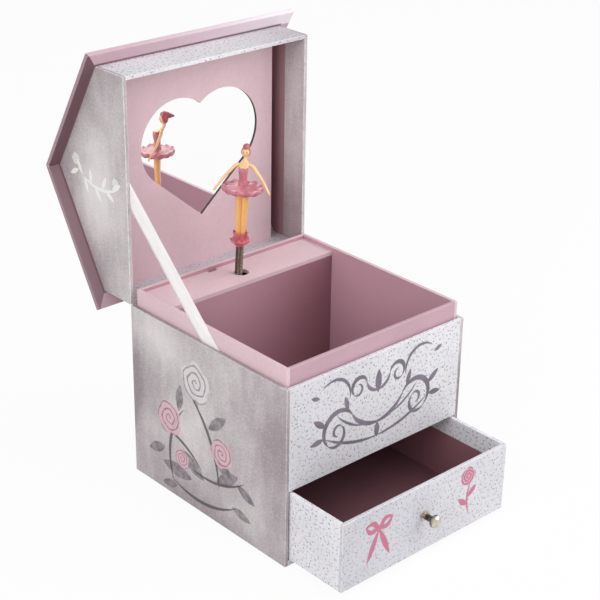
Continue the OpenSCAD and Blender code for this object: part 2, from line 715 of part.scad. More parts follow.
// Cylinder arbor, carried on up through the platform's hole as the dancer's spindle
module drive_spindle() color("silver")
    z_rod(axis_x, axis_y, bridge_top - 1.8, platform_top - spindle_gap, shaft_r);

module spring_ferrule() color("silver") difference() {
    z_rod(axis_x, axis_y, platform_top - spring_foot - ferrule_l, platform_top - spring_foot - 0.2,
          ferrule_r);
    z_rod(axis_x, axis_y, platform_top - spring_foot - ferrule_l - 1, platform_top, shaft_r);
}

// Layshaft: pinion under the lower plate, worm wheel between the plates
module layshaft() color("goldenrod") union() {
    z_rod(lay_x, axis_y, gear_z - 0.4, top_plate_z + top_plate_t - 0.2, lay_r);
    translate([lay_x, axis_y, gear_z - 0.2]) rotate(180 / lay_teeth)
        spur(lay_teeth, lay_pitch_r - 0.4, lay_pitch_r + 0.25, 0.55, 0.25, gear_h + 0.3);
    translate([lay_x, axis_y, worm_z - wheel_h / 2]) rotate(90)
        spur(wheel_teeth, wheel_r - 0.45, wheel_r + 0.2, 0.5, 0.25, wheel_h);
}

// Governor worm: an offset circle twisted along the shaft
module worm_shaft() color("silver") union() {
    x_rod(worm_y, worm_z, lug_b - lug_t - 0.6 - fly_w - 0.6, lug_a + lug_t - 0.1, worm_shaft_r, 24);
    translate([lay_x, worm_y, worm_z]) rotate([0, 90, 0])
        rotate(90 - 360 * worm_half / worm_pitch)
        linear_extrude(height = 2 * worm_half, center = true, twist = -720 * worm_half / worm_pitch,
                       slices = 96, $fn = 20)
        translate([worm_off, 0]) circle(r = worm_r);
}

// Air brake: two flat blades on a hub
module fly() color("silver") difference() {
    translate([lug_b - lug_t - 0.6 - fly_w, worm_y, worm_z]) union() {
        rotate([0, 90, 0]) cylinder(r = 1.1, h = fly_w, $fn = 24);
        translate([0, -fly_r, -fly_t / 2]) cube([fly_w, 2 * fly_r, fly_t]);
    }
    x_rod(worm_y, worm_z, lug_b - lug_t - 2 - fly_w, lug_b, worm_shaft_r, 24);
}

// ---------- dancer ----------
// Close-wound spring: stacked coils round an open middle
module coil_spring() color("darkkhaki") leaned() rotate_extrude($fn = 32) union() {
    translate([spring_d / 2 - spring_wire * 0.8, -spring_foot])
        square([spring_wire * 0.4, spring_h + spring_foot - 0.1]);
    for (i = [0 : coils - 1])
        translate([spring_d / 2 - spring_wire / 2, -spring_foot + spring_wire * (i + 0.5)])
        circle(d = spring_wire * 0.98, $fn = 16);
}

// Ruffle round the feet: an outer frill and an upright inner one
module slippers() color("palevioletred") dancer_body()
    rotate_extrude($fn = 48) polygon([[0, 0], [slipper_r * 0.38, 0], [slipper_r * 0.57, slipper_top * 0.11],
        [slipper_r, slipper_top * 0.35], [slipper_r * 0.96, slipper_top * 0.45],
        [slipper_r * 0.68, slipper_top * 0.37], [slipper_r * 0.74, slipper_top * 0.7],
        [slipper_r * 0.68, slipper_top], [slipper_r * 0.52, slipper_top * 0.71],
        [0, slipper_top * 0.54]]);

// Two legs side by side, from the shoes up to the skirt
module legs() color("sandybrown") dancer_body() scale([1, 0.92, 1]) for (side = [-1, 1])
    hull() {
        translate([side * 1.2, 0, leg_low]) sphere(r = 1.4, $fn = 24);
        translate([side * 1.5, 0.2, tutu_low * 0.55]) sphere(r = 1.75, $fn = 24);
        translate([side * 1.6, 0, tutu_low + 0.4]) cylinder(r = 1.9, h = 0.5, $fn = 24);
    }

// Tutu: a thin disc with an upturned, scalloped rim and a waist
module tutu() color("palevioletred") dancer_body() difference() {
    rotate_extrude($fn = 64) polygon([[0, tutu_low + 1.1], [3.4, tutu_low + 1],
        [tutu_d * 0.4, tutu_low], [tutu_d * 0.475, tutu_low + 0.6], [tutu_d / 2, tutu_low + 2],
        [tutu_d * 0.49, tutu_rim], [tutu_d * 0.455, tutu_rim - 0.5],
        [tutu_d * 0.4, tutu_low + 2.1], [3.4, tutu_low + 2.3], [2.4, tutu_top], [0, tutu_top]]);
    for (i = [0 : 11]) rotate(i * 30)
        translate([tutu_d / 2 + 0.5, 0, tutu_low - 1])
        cylinder(r = 1, h = tutu_rim - tutu_low + 2, $fn = 20);
}

module bodice() color("palevioletred") dancer_body() hull() {
    translate([0, 0.3, waist_z]) scale([1.05, 0.85, 1]) cylinder(r = 2.1, h = 0.2, $fn = 24);
    translate([0, 0.1, (waist_z + bust_z) / 2]) scale([1.1, 1, 1]) cylinder(r = 2.1, h = 0.2, $fn = 24);
    translate([0, 0.2, bust_z - 0.3]) scale([1.05, 1, 1]) cylinder(r = 2.45, h = 0.2, $fn = 24);
}

// Shoulders and neck, closed on to the bodice and the head
module torso() color("sandybrown") dancer_body() union() {
    hull() {
        translate([0, 0.2, bust_z]) scale([1.05, 1, 1]) cylinder(r = 2.3, h = 0.2, $fn = 24);
        for (side = [-1, 1]) translate([side * 1.75, shoulder_back, shoulder_z - 0.5])
            sphere(r = 0.95, $fn = 20);
        translate([0.2, neck_back, shoulder_z + 0.6]) sphere(r = 0.95, $fn = 20);
    }
    hull() {
        translate([0.2, neck_back, shoulder_z]) cylinder(r = 0.95, h = 0.2, $fn = 24);
        translate([head_at[0], neck_back, neck_z - 0.4]) cylinder(r = 0.85, h = 0.2, $fn = 24);
    }
}

// Arms held out and down, elbows a little bent
module arms() color("sandybrown") dancer_body() for (side = [-1, 1], i = [0, 1])
    hull() for (j = [i, i + 1])
        translate([side * arm_points[j][0], arm_points[j][1], shoulder_z + arm_points[j][2]])
        sphere(r = arm_r[j], $fn = 20);

// Moves to the middle of the head
module at_head()
    dancer_body() translate([head_at[0], head_at[1], head_z]) children();

module face_block(grow = 0)
    translate([0, -0.86, -0.78] * head_r) cube(face_cut + [0, grow, grow], center = true);

module head() color("sandybrown") at_head() intersection() {
    scale([0.86, 0.95, 1.1]) sphere(r = head_r, $fn = 40);
    face_block();
}

// Hair swept up over the forehead and back to a pointed bun
module hair() color("indianred") at_head() difference() {
    union() {
        scale([0.95, 1.02, 1.15]) sphere(r = head_r, $fn = 40);
        hull() {
            translate([0, 0, 0.25] * head_r) scale([0.95, 1, 1]) sphere(r = head_r * 0.9, $fn = 32);
            translate([0, -0.4, 1.5] * head_r) sphere(r = head_r * 0.3, $fn = 20);
            translate([0, 2.1, 0.8] * head_r) sphere(r = head_r * 0.3, $fn = 20);
        }
    }
    face_block(0.05);
}

floor_board();
left_wall();
right_wall();
rear_wall();
front_panel();
deck();
liner_left();
liner_right();
liner_front();
liner_rear();
divider();
platform();
hinge_strip();
key_escutcheon();
drawer_front();
drawer_left();
drawer_right();
drawer_back();
drawer_bottom();
knob();
knob_screw();
lid_left();
lid_right();
lid_front();
lid_rear();
roof_front();
roof_rear();
mirror_board();
mirror_glass();
hinge_strip_lid();
stay_ribbon();
bedplate();
movement_screws();
barrel_bridge();
governor_frame();
comb();
comb_screws();
spring_barrel();
barrel_cover();
mainspring();
winding_arbor();
key();
pin_cylinder();
cylinder_pinion();
cylinder_gear();
drive_spindle();
spring_ferrule();
layshaft();
worm_shaft();
fly();
coil_spring();
slippers();
legs();
tutu();
bodice();
torso();
arms();
head();
hair();
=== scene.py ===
"""Dresses the wind-up music box: its papers, ribbon, mirror, dancer and movement."""
import contextlib
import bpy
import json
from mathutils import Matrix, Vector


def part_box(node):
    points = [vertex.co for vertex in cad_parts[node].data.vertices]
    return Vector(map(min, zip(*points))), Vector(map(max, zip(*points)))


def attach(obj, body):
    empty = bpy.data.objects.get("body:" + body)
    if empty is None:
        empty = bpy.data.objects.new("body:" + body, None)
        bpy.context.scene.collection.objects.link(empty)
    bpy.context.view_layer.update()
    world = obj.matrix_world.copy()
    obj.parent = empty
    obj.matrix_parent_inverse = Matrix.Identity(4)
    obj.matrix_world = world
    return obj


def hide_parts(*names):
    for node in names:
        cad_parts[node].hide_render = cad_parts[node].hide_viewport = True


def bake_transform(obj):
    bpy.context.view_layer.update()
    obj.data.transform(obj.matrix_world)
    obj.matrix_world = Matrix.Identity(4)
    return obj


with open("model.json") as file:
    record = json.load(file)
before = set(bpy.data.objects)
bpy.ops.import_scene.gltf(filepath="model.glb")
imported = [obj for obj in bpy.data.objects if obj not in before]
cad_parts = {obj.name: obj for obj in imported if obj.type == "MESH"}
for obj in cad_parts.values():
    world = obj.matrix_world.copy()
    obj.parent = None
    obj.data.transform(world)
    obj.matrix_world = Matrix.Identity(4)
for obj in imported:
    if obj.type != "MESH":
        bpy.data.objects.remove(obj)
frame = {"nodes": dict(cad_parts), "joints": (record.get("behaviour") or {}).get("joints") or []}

import copy
import functools
import json
import math
from types import SimpleNamespace

import bpy
from bpy.props import (
    FloatProperty,
    FloatVectorProperty,
    IntProperty,
    PointerProperty,
)
from mathutils import Matrix, Vector

bl_info = {
    "name": "Music box dressing",
    "version": (1, 0, 0),
    "blender": (4, 5, 0),
    "location": "3D View > Sidebar > Music box",
    "description": "Papers, ribbon, dancer and movement finishes for a wind-up music box",
    "category": "Object",
}

MM = 0.001
NODES = frame["nodes"]


def box(node):
    """A node's lowest and highest corners, in millimetres."""
    return [SimpleNamespace(x=x / MM, y=y / MM, z=z / MM) for x, y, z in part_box(node)]


# ---------- colours ----------
def tone(*display):
    """A linear colour from red, green and blue as displayed, each from 0 to 255."""
    linear = []
    for value in display:
        share = value / 255
        linear.append(((share + 0.055) / 1.055) ** 2.4 if value > 10 else share / 12.92)
    return tuple(linear)


def scaled(colour, share):
    """The same hue, darker or lighter."""
    return tuple(c * share for c in colour)


def worn_and_lit(colour):
    """The paler colour of a plain paper along its edges, for wear and a painted highlight there."""
    return tuple(1 - (1 - c) * 0.6 for c in colour)


def full(colour):
    """A colour with its alpha; anything else as it is."""
    return (*colour, 1.0) if hasattr(colour, "__len__") and len(colour) == 3 else colour


# ---------- shader maths ----------
class Value:
    """A number, colour or vector in a material. Arithmetic on it adds the nodes."""

    def __init__(self, paint, socket):
        self.paint = paint
        self.socket = socket

    def math(self, operation, *others):
        inputs = dict(enumerate([self, *others]))
        return self.paint.node("ShaderNodeMath", {"operation": operation}, inputs)

    def __add__(self, other):
        return self.math("ADD", other)

    def __sub__(self, other):
        return self.math("SUBTRACT", other)

    def __rsub__(self, other):
        return (self * -1) + other

    def __mul__(self, other):
        return self.math("MULTIPLY", other)

    def __truediv__(self, other):
        return self.math("DIVIDE", other)

    def __gt__(self, other):
        return self.math("GREATER_THAN", other)

    def __lt__(self, other):
        return self.math("LESS_THAN", other)

    def __abs__(self):
        return self.math("ABSOLUTE")

    __radd__ = __add__
    __rmul__ = __mul__

    def power(self, exponent):
        return self.math("POWER", exponent)

    def lower(self, other):
        return self.math("MINIMUM", other)

    def higher(self, other):
        return self.math("MAXIMUM", other)

    def clamped(self):
        return self.lower(1).higher(0)

    def ramp(self, start, end):
        """0 at start and 1 at end, smooth between them and held beyond."""
        settings = {"interpolation_type": "SMOOTHSTEP"}
        values = {"Value": self, "From Min": start, "From Max": end}
        return self.paint.node("ShaderNodeMapRange", settings, values)

    def other(self, name):
        """Another output of the node that this value comes from."""
        return Value(self.paint, self.socket.node.outputs[name])


def overlaid(marks):
    """Marks laid over each other."""
    return functools.reduce(Value.higher, marks)


class Paint:
    """A material in the making."""

    def __init__(self, name):
        self.material = bpy.data.materials.new(name)
        self.material.use_nodes = True
        self.tree = self.material.node_tree
        self.tree.nodes.clear()
        self.end = self.tree.nodes.new("ShaderNodeOutputMaterial")

    def node(self, kind, settings=None, values=None, output=0):
        made = self.tree.nodes.new(kind)
        for name, value in (settings or {}).items():
            if name == "bands":
                self.set_bands(made.color_ramp, value)
            else:
                setattr(made, name, value)
        for name, value in (values or {}).items():
            if isinstance(value, Value):
                self.tree.links.new(value.socket, made.inputs[name])
            else:
                made.inputs[name].default_value = value
        return Value(self, made.outputs[output])

    @staticmethod
    def set_bands(ramp, bands):
        """Plain bands of colour, each from its place to the next one's."""
        ramp.interpolation = "CONSTANT"
        while len(ramp.elements) < len(bands):
            ramp.elements.new(1)
        for element, (place, colour) in zip(ramp.elements, bands):
            element.position = place
            element.color = full(colour)

    def where(self):
        """The place on the piece, in millimetres."""
        place = self.node("ShaderNodeTexCoord", output="Object")
        return self.node("ShaderNodeVectorMath", {"operation": "SCALE"}, {0: place, "Scale": 1 / MM})

    def parts(self, vector):
        """A vector's X, Y and Z."""
        split = self.node("ShaderNodeSeparateXYZ", values={0: vector})
        return split, split.other("Y"), split.other("Z")

    def joined(self, x, y, z=0.0):
        """A vector of X, Y and Z."""
        return self.node("ShaderNodeCombineXYZ", values={0: x, 1: y, 2: z})

    def weave_place(self):
        """The place on a band of cloth: across it and along it, each from 0 to 1."""
        across, along, _ = self.parts(self.node("ShaderNodeTexCoord", output="UV"))
        return across, along

    def noise(self, vector, size, detail=3.0, rough=0.5, distortion=0.0):
        """Noise from 0 to 1 whose features are about size millimetres across."""
        values = {"Vector": vector, "Scale": 1 / size, "Detail": detail, "Roughness": rough,
                  "Distortion": distortion}
        return self.node("ShaderNodeTexNoise", None, values)

    def cells(self, vector):
        """A scatter of points, one in each square of 1 by 1: the distance to the nearest."""
        settings = {"voronoi_dimensions": "2D"}
        return self.node("ShaderNodeTexVoronoi", settings, {"Vector": vector, "Scale": 1.0})

    def mix(self, share, first, second):
        """first where share is 0 and second where it is 1."""
        values = {0: share, 6: full(first), 7: full(second)}
        return self.node("ShaderNodeMix", {"data_type": "RGBA"}, values, output=2)

    def bump(self, height, depth, strength=1.0):
        """A normal from a height of 0 to 1 that stands for depth millimetres."""
        values = {"Height": height, "Distance": depth * MM, "Strength": strength}
        return self.node("ShaderNodeBump", None, values)

    def finished(self, **values):
        """Ends the material; the shader's sockets are named with _ for a space."""
        named = {name.replace("_", " "): value for name, value in values.items()}
        named["Base Color"] = full(named["Base Color"])
        return self.ended(self.node("ShaderNodeBsdfPrincipled", None, named))

    def ended(self, surface):
        self.tree.links.new(surface.socket, self.end.inputs["Surface"])
        return self.material


# ---------- marks on a paper ----------
PEN_SOFT = 0.25  # over which a pen line fades on either side, in millimetres
SQUARE_ON = 0.7  # how squarely a face must look along an axis to count as facing it
INNER_FACE = -0.3  # the roof boards' inner faces look further to the front than this


class Sheet:
    """A board's paper: two coordinates across its faces, in millimetres, and marks drawn on them."""

    def __init__(self, node, kind):
        self.low, self.high = box(node)
        self.paint = paint = Paint(f"{node}_{kind}")
        self.where = paint.where()
        self.x, self.y, self.z = paint.parts(self.where)
        facing = paint.node("ShaderNodeTexCoord", output="Normal")
        self.facing_x, self.facing_y, self.facing_z = paint.parts(facing)
        on_side = abs(self.facing_x) > SQUARE_ON
        on_top = abs(self.facing_z) > SQUARE_ON
        self.u = self.x + (self.y - self.x) * on_side
        self.v = self.z + (self.y - self.z) * on_top
        self.flat = paint.joined(self.u, self.v)

    def turned(self, centre, angle):
        """The two coordinates from a centre, turned by an angle in degrees."""
        across, up = self.u - centre[0], self.v - centre[1]
        c, s = math.cos(math.radians(angle)), math.sin(math.radians(angle))
        return across * c + up * s, up * c - across * s

    def spot(self, centre, length, width, soft):
        """An ellipse: 1 inside, fading to 0 at its rim. soft is the share that fades."""
        along, across = self.turned(centre, 0)
        far = ((along / length).power(2) + (across / width).power(2)).power(0.5)
        return far.ramp(1, 1 - soft)

    def stroke(self, centre, radius, start, sweep, width):
        """A pen stroke on an arc from start through sweep degrees, fine at both ends."""
        across, up = self.turned(centre, start)
        far = (across.power(2) + up.power(2)).power(0.5)
        angle = up.math("ARCTAN2", across) / math.radians(sweep)
        turn = 2 * math.pi / abs(math.radians(sweep))
        share = angle.math("FLOORED_MODULO", turn)
        swell = (share.clamped() * math.pi).math("SINE").power(0.7) * (share < 1)
        return (swell * width - abs(far - radius)).ramp(-PEN_SOFT, PEN_SOFT) * (share < 1)

    def leaf(self, root, length, width, angle, soft=PEN_SOFT):
        """A leaf or petal, pointed at its root and at its tip."""
        along, across = self.turned(root, angle)
        share = along / length
        belly = (share.clamped() * math.pi).math("SINE").power(0.8) * (width / 2)
        return (belly - abs(across)).ramp(-soft, soft) * (share > 0) * (share < 1)

    def folded(self, centre):
        """The same sheet, measured outwards to both sides of a centre."""
        half = copy.copy(self)
        half.u, half.v = abs(self.u - centre[0]), self.v - centre[1]
        return half

    def faces(self, x=0, y=0, z=0):
        """1 where the face looks along x, y and z, and 0 elsewhere."""
        return (self.facing_x * x + self.facing_y * y + self.facing_z * z) > SQUARE_ON

    def edge(self):
        """Distance to the nearest edge of the board, in millimetres."""
        gaps = []
        for axis in "xyz":
            value, start, stop = (getattr(of, axis) for of in (self, self.low, self.high))
            gaps.append((value - start).lower(stop - value))
        total = gaps[0] + gaps[1] + gaps[2]
        most = gaps[0].higher(gaps[1]).higher(gaps[2])
        least = gaps[0].lower(gaps[1]).lower(gaps[2])
        return total - most - least


# ---------- papers ----------
# The flecks' inks, each from its share of the flecks on. From FLECKS_END on, a fleck has the
# colour of the ground.
FLECK_INKS = ((0.0, tone(118, 114, 128)), (0.46, tone(206, 130, 156)), (0.62, tone(158, 154, 168)))
FLECKS_END = 0.95
FLECK_DEPTH = 0.72
STAR_PITCH = 3.2  # of the pale dots on the watercolour, in millimetres


def flecked(sheet, ground, papers):
    """Pale paper with small flecks, each turned its own way."""
    paint = sheet.paint
    pitch = papers.fleck_pitch / MM
    spot = paint.joined(sheet.u / pitch, sheet.v / pitch)
    cells = paint.cells(spot)
    values = {0: spot, 1: cells.other("Position")}
    across, up, _ = paint.parts(paint.node("ShaderNodeVectorMath", {"operation": "SUBTRACT"}, values))
    chance = paint.node("ShaderNodeSeparateColor", values={0: cells.other("Color")})
    turn = chance * (2 * math.pi)
    cosine, sine = turn.math("COSINE"), turn.math("SINE")
    length = (chance.other("Green") * 0.14 + 0.12) * papers.fleck_size
    along = (across * cosine + up * sine) / length
    aside = (up * cosine - across * sine) / (length * 0.5)
    fleck = (along.power(2) + aside.power(2)).power(0.5).ramp(1.2, 0.7)
    bands = [*FLECK_INKS, (FLECKS_END, ground)]
    ink = paint.node("ShaderNodeValToRGB", {"bands": bands}, {0: chance.other("Blue")})
    tint = paint.noise(sheet.flat, 30, 3) * 0.5 + paint.noise(sheet.flat, 1.5, 4) * 0.5
    paper = paint.mix(tint.ramp(0.35, 0.65), scaled(ground, 0.86), ground)
    return paint.mix(fleck * FLECK_DEPTH, paper, ink)


def washed(sheet, papers, bright, dim):
    """Grey watercolour: soft clouds and fine mottling, with brighter and dimmer places.

    A place is a row of centre, length, width and how much brighter or dimmer it is.
    """
    paint = sheet.paint
    clouds = paint.noise(sheet.flat, 46, 3, 0.5, distortion=0.4)
    blots = paint.noise(sheet.flat, 9, 4, 0.6)
    mottle = paint.noise(sheet.flat, 1.3, 4, 0.65)
    streaks = paint.noise(paint.joined(sheet.u / 4, sheet.v / 22), 1, 3, 0.5)
    depth = clouds * 0.42 + blots * 0.14 + streaks * 0.14 + mottle * 0.3
    for centre, length, width, share in bright:
        depth = depth + sheet.spot(centre, length, width, soft=1.0) * share
    for centre, length, width, share in dim:
        depth = depth - sheet.spot(centre, length, width, soft=1.0) * share
    colour = paint.mix(depth.ramp(0.25, 0.78), papers.dark_grey, papers.light_grey)
    dots = paint.cells(paint.joined(sheet.u / STAR_PITCH, sheet.v / STAR_PITCH))
    return paint.mix(dots.ramp(0.11, 0.05) * 0.35, colour, tone(240, 238, 238))


def rosy(sheet, colour):
    """Plain tinted paper with faint clouding."""
    paint = sheet.paint
    clouds = paint.noise(sheet.where, 22, 3) * 0.5 + paint.noise(sheet.where, 1.6, 4) * 0.5
    return paint.mix(clouds.ramp(0.3, 0.7), scaled(colour, 0.94), scaled(colour, 1.03))


def papered(sheet, colour, pale, share=0.55):
    """Ends a paper: paler along the board's edges, for wear and a painted highlight, with its fibre and a
    soft gloss.
    """
    paint = sheet.paint
    # Wear and painted highlight: paler in patches within about half a millimetre of the board's edges.
    patches = paint.noise(sheet.where, 2.5, 3).ramp(0.25, 0.6)
    near = sheet.edge().ramp(0.45, 0.135)
    return without_pale_edges(sheet, paint.mix(near * patches * share, colour, pale))


def without_pale_edges(sheet, colour):
    """Ends a paper without the paler edges of wear and painted highlight: its fibre and a soft, even gloss.
    """
    paint = sheet.paint
    grain = paint.noise(sheet.where, 0.35, 4, 0.6)
    return paint.finished(Base_Color=colour, Roughness=grain * 0.1 + 0.57, Normal=paint.bump(grain, 0.015))


# ---------- prints ----------
# Strokes are rows of centre, radius, start, sweep and width. Leaves are rows of root, length,
# width and angle. Lengths are in millimetres and angles in degrees.
SPRAY_STEMS = (
    ((52, 18), 62, 128, 50, 1.1), ((-14, 24), 44, -22, 66, 1.0), ((36, -8), 46, 88, 48, 0.9),
    ((2, 74), 52, 232, 50, 0.8), ((8, 62), 56, 236, 56, 1.0))
SPRAY_LEAVES = (
    ((-8, 24), 20, 7, 148), ((-6, 36), 17, 6, 196), ((2, 20), 22, 8, 28), ((12, 16), 24, 8, 2),
    ((22, 52), 16, 6, 96), ((-24, 30), 15, 5.5, 204), ((-2, 52), 18, 6, 140), ((34, 26), 15, 6, -24),
    ((-20, 15), 15, 5, 190), ((24, 7), 13, 5, -14), ((6, 60), 14, 5, 62))
PALE_PETAL = tone(222, 214, 216)
SPRIG_LEAVES = (
    (-15, -3, 150), (-9, -5, 212), (-6, -5.6, 118), (0, -6, 232), (3, -5.6, 84), (9, -3, 250),
    (11, -2, 62), (14, 0, 330))
SCROLL_TIPS = (((0, 4), 13, 4.4, 90), ((0, -12), 9, 3.6, -90))
SCROLL_STROKES = (
    ((0, 8), 20, 262, 70, 1.3), ((26, -7), 10, 156, -206, 1.5), ((28.5, -10.1), 6, -40, -190, 1.1),
    ((26.5, -7.8), 3, 140, -230, 0.9), ((0, 14), 8, 262, 90, 1.0), ((12.8, 11.7), 5, 176, -226, 1.2),
    ((14.1, 10.2), 3, -40, -230, 0.8), ((0, 44), 64, 268, 36, 0.9), ((30, 10), 11, 196, -150, 0.9),
    ((0, 24), 36, 284, 36, 0.7))
SCROLL_LEAVES = (
    ((35, -3), 10, 3.4, 38), ((36, -9), 9, 3.2, -6), ((20, 1), 9, 3, 74), ((39, 14), 6, 2.4, 20))


def rose(sheet, centre, size, turn=0.0):
    """A full-blown rose: its petals, and the coiled pen line on them."""
    across, up = sheet.turned(centre, turn)
    wobble = sheet.paint.noise(sheet.flat, size * 0.5, 2) * 0.3 - 0.15
    far = (across.power(2) + up.power(2)).power(0.5) / size + wobble
    angle = up.math("ARCTAN2", across)
    rim = abs((angle * 2.5).math("COSINE")) * 0.14 + 0.86
    petals = (far / rim).ramp(1.05, 0.94)
    coil = (far * 3.0 + angle / (2 * math.pi)).math("FRACT")
    return petals, abs(coil - 0.5).ramp(0.2, 0.06) * petals


def rose_spray(sheet, colour, papers):
    """Four roses on curved stems with leaves: pen and wash on the outer face."""
    mix = sheet.paint.mix
    outside = sheet.faces(x=-1)
    stems = overlaid(sheet.stroke(*row) for row in SPRAY_STEMS)
    leaves = overlaid(sheet.leaf(*row) for row in SPRAY_LEAVES)
    shade = sheet.paint.noise(sheet.flat, 4, 4).ramp(0.3, 0.7)
    colour = mix(leaves * outside * (shade * 0.4 + 0.45), colour, papers.ink)
    colour = mix(stems * outside * 0.85, colour, scaled(papers.ink, 0.45))
    for centre, size, turn, petal in (
            ((8, 74), 11.5, 20, PALE_PETAL), ((30, 45), 10, 80, papers.bloom),
            ((-12, 42), 8.5, 140, papers.bloom), ((20, 25), 6, 10, papers.bloom)):
        petals, lines = rose(sheet, centre, size, turn)
        colour = mix(petals * outside * 0.85, colour, petal)
        colour = mix(lines * outside * 0.65, colour, papers.ink)
    return colour


def pale_sprig(sheet, centre):
    """A fine sprig with leaves and two buds, drawn in one pale ink."""
    u, v = centre
    marks = sheet.stroke((u - 4, v + 26), 32, 238, 58, 0.9)
    for along, up, angle in SPRIG_LEAVES:
        marks = marks.higher(sheet.leaf((u + along, v + up), 8.5, 2.6, angle, 0.2))
    for along, up, size in ((16, 5, 3.4), (-18, 1, 2.8)):
        petals, lines = rose(sheet, (u + along, v + up), size)
        marks = marks.higher(petals * 0.45 + lines)
    return marks


def flourish(sheet, centre):
    """A pen-drawn scroll ornament, alike on both sides of its centre."""
    half = sheet.folded(centre)
    marks = [half.leaf(*row) for row in SCROLL_TIPS]
    marks += [half.stroke(*row) for row in SCROLL_STROKES]
    marks += [half.leaf(*row) for row in SCROLL_LEAVES]
    return overlaid(marks)


def bow(sheet, centre, size):
    """A tied bow with two long tails."""
    half = sheet.folded(centre)
    opening = half.leaf((size * 0.3, size * 0.13), size * 0.5, size * 0.2, 24)
    loop = half.leaf((0, 0), size, size * 0.72, 24) - opening
    tail = half.leaf((0, 0), size * 1.9, size * 0.34, -66)
    knot = half.spot((0, 0), size * 0.18, size * 0.24, soft=0.3)
    return loop.clamped().higher(tail).higher(knot)


def long_stemmed(sheet, centre, size):
    """A single rose on a long stem with two leaves."""
    u, v = centre
    petals, lines = rose(sheet, (u, v + size), size * 0.5)
    stem = sheet.stroke((u + size * 2, v - size * 0.2), size * 2, 152, 54, 0.7)
    marks = (petals - lines * 0.7).higher(stem)
    for rise, angle in ((-0.1, 38), (-0.5, 140)):
        marks = marks.higher(sheet.leaf((u, v + size * rise), size * 0.75, size * 0.3, angle))
    return marks


# ---------- modelling ----------
def alone(piece=None):
    """Leaves only this piece selected and active, or nothing selected."""
    bpy.ops.object.select_all(action="DESELECT")
    if piece:
        piece.select_set(True)
        bpy.context.view_layer.objects.active = piece


def added(name):
    """Names the primitive that was just added."""
    piece = bpy.context.active_object
    piece.name = name
    return piece


@contextlib.contextmanager
def editing():
    """Edit mode with everything selected, and object mode again at the end."""
    bpy.ops.object.mode_set(mode="EDIT")
    bpy.ops.mesh.select_all(action="SELECT")
    yield
    bpy.ops.object.mode_set(mode="OBJECT")


def face_outwards():
    """In edit mode, turns every face of the piece outwards."""
    bpy.ops.mesh.select_all(action="SELECT")
    bpy.ops.mesh.normals_make_consistent(inside=False)


def drawn(name, stations, sides):
    """A solid pulled through rings. A station is (half width, half depth, x, y, z), in millimetres."""
    alone()
    bpy.ops.mesh.primitive_circle_add(vertices=sides, radius=1, fill_type="NGON")
    piece = added(name)
    width, depth, *centre = stations[0]
    with editing():
        bpy.ops.transform.resize(value=(width, depth, 1), center_override=(0, 0, 0))
        bpy.ops.transform.translate(value=centre)
        for before, after in zip(stations, stations[1:]):
            step = [stop - start for start, stop in zip(before[2:], after[2:])]
            bpy.ops.mesh.extrude_region_move(TRANSFORM_OT_translate={"value": step})
            growth = (after[0] / before[0], after[1] / before[1], 1)
            bpy.ops.transform.resize(value=growth, center_override=after[2:])
        face_outwards()
    return piece


def turned_rings(profile):
    """Stations about the upright axis from a profile of (radius, height)."""
    return [(radius, radius, 0, 0, height) for radius, height in profile]


def shaped(piece, shift):
    """Moves every vertex by what shift gives for its place."""
    for vertex in piece.data.vertices:
        vertex.co += Vector(shift(*vertex.co))
    return piece


def finished(piece, *modifiers):
    """Adds modifiers, each as (kind, settings), and applies them in turn."""
    alone(piece)
    for kind, settings in modifiers:
        modifier = piece.modifiers.new(kind.lower(), kind)
        for name, value in settings.items():
            setattr(modifier, name, value)
        bpy.ops.object.modifier_apply(modifier=modifier.name)
    bpy.ops.object.shade_smooth()
    return piece


def rounded(piece, levels=1):
    """The piece with its faces divided and smoothed."""
    return finished(piece, ("SUBSURF", {"levels": levels, "render_levels": levels}))


def joined(name, *pieces):
    """One piece of several."""
    alone()
    for piece in pieces:
        piece.select_set(True)
    bpy.context.view_layer.objects.active = pieces[0]
    bpy.ops.object.join()
    return added(name)


def limb(name, points):
    """A round limb along points of (x, y, z, radius), in millimetres."""
    alone()
    bpy.ops.curve.primitive_bezier_curve_add()
    curve = added(name).data
    curve.splines.clear()
    spline = curve.splines.new("BEZIER")
    spline.bezier_points.add(len(points) - 1)
    for point, (x, y, z, radius) in zip(spline.bezier_points, points):
        point.co = (x, y, z)
        point.radius = radius
        point.handle_left_type = point.handle_right_type = "AUTO"
    spline.resolution_u = 6
    curve.dimensions = "3D"
    curve.bevel_depth = 1
    curve.bevel_resolution = 4
    curve.use_fill_caps = True
    bpy.ops.object.convert(target="MESH")
    return bpy.context.active_object


def band(name, route, width, thick, across, parts):
    """A flat band of cloth along route, points in millimetres; across is the way its width lies.

    Its UV map runs from 0 to 1 across it and from 0 to 1 along it.
    """
    alone()
    bpy.ops.mesh.primitive_grid_add(x_subdivisions=6, y_subdivisions=parts, size=1)
    piece = added(name)
    points = [Vector(point) for point in route]
    reach = [0.0]
    for before, after in zip(points, points[1:]):
        reach.append(reach[-1] + (after - before).length)
    across = Vector(across).normalized()
    for vertex in piece.data.vertices:
        place = (vertex.co.y + 0.5) * reach[-1]
        leg = max(i for i in range(len(points) - 1) if reach[i] <= place + 1e-6)
        share = (place - reach[leg]) / (reach[leg + 1] - reach[leg])
        vertex.co = points[leg].lerp(points[leg + 1], share) + across * (vertex.co.x * width)
    return finished(piece, ("SOLIDIFY", {"thickness": thick, "offset": 0}))


def placed(piece, matrix, material, body, slot, *nodes):
    """Sets a piece down in its place with its material. body is None where a joint bends it."""
    piece.data.transform(matrix @ Matrix.Scale(MM, 4))
    piece.data.materials.clear()
    piece.data.materials.append(material)
    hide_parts(*nodes)
    if body:
        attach(piece, body)
    return piece


def dress(node, material):
    """Gives a CAD node its material."""
    slots = NODES[node].data.materials
    slots.clear()
    slots.append(material)


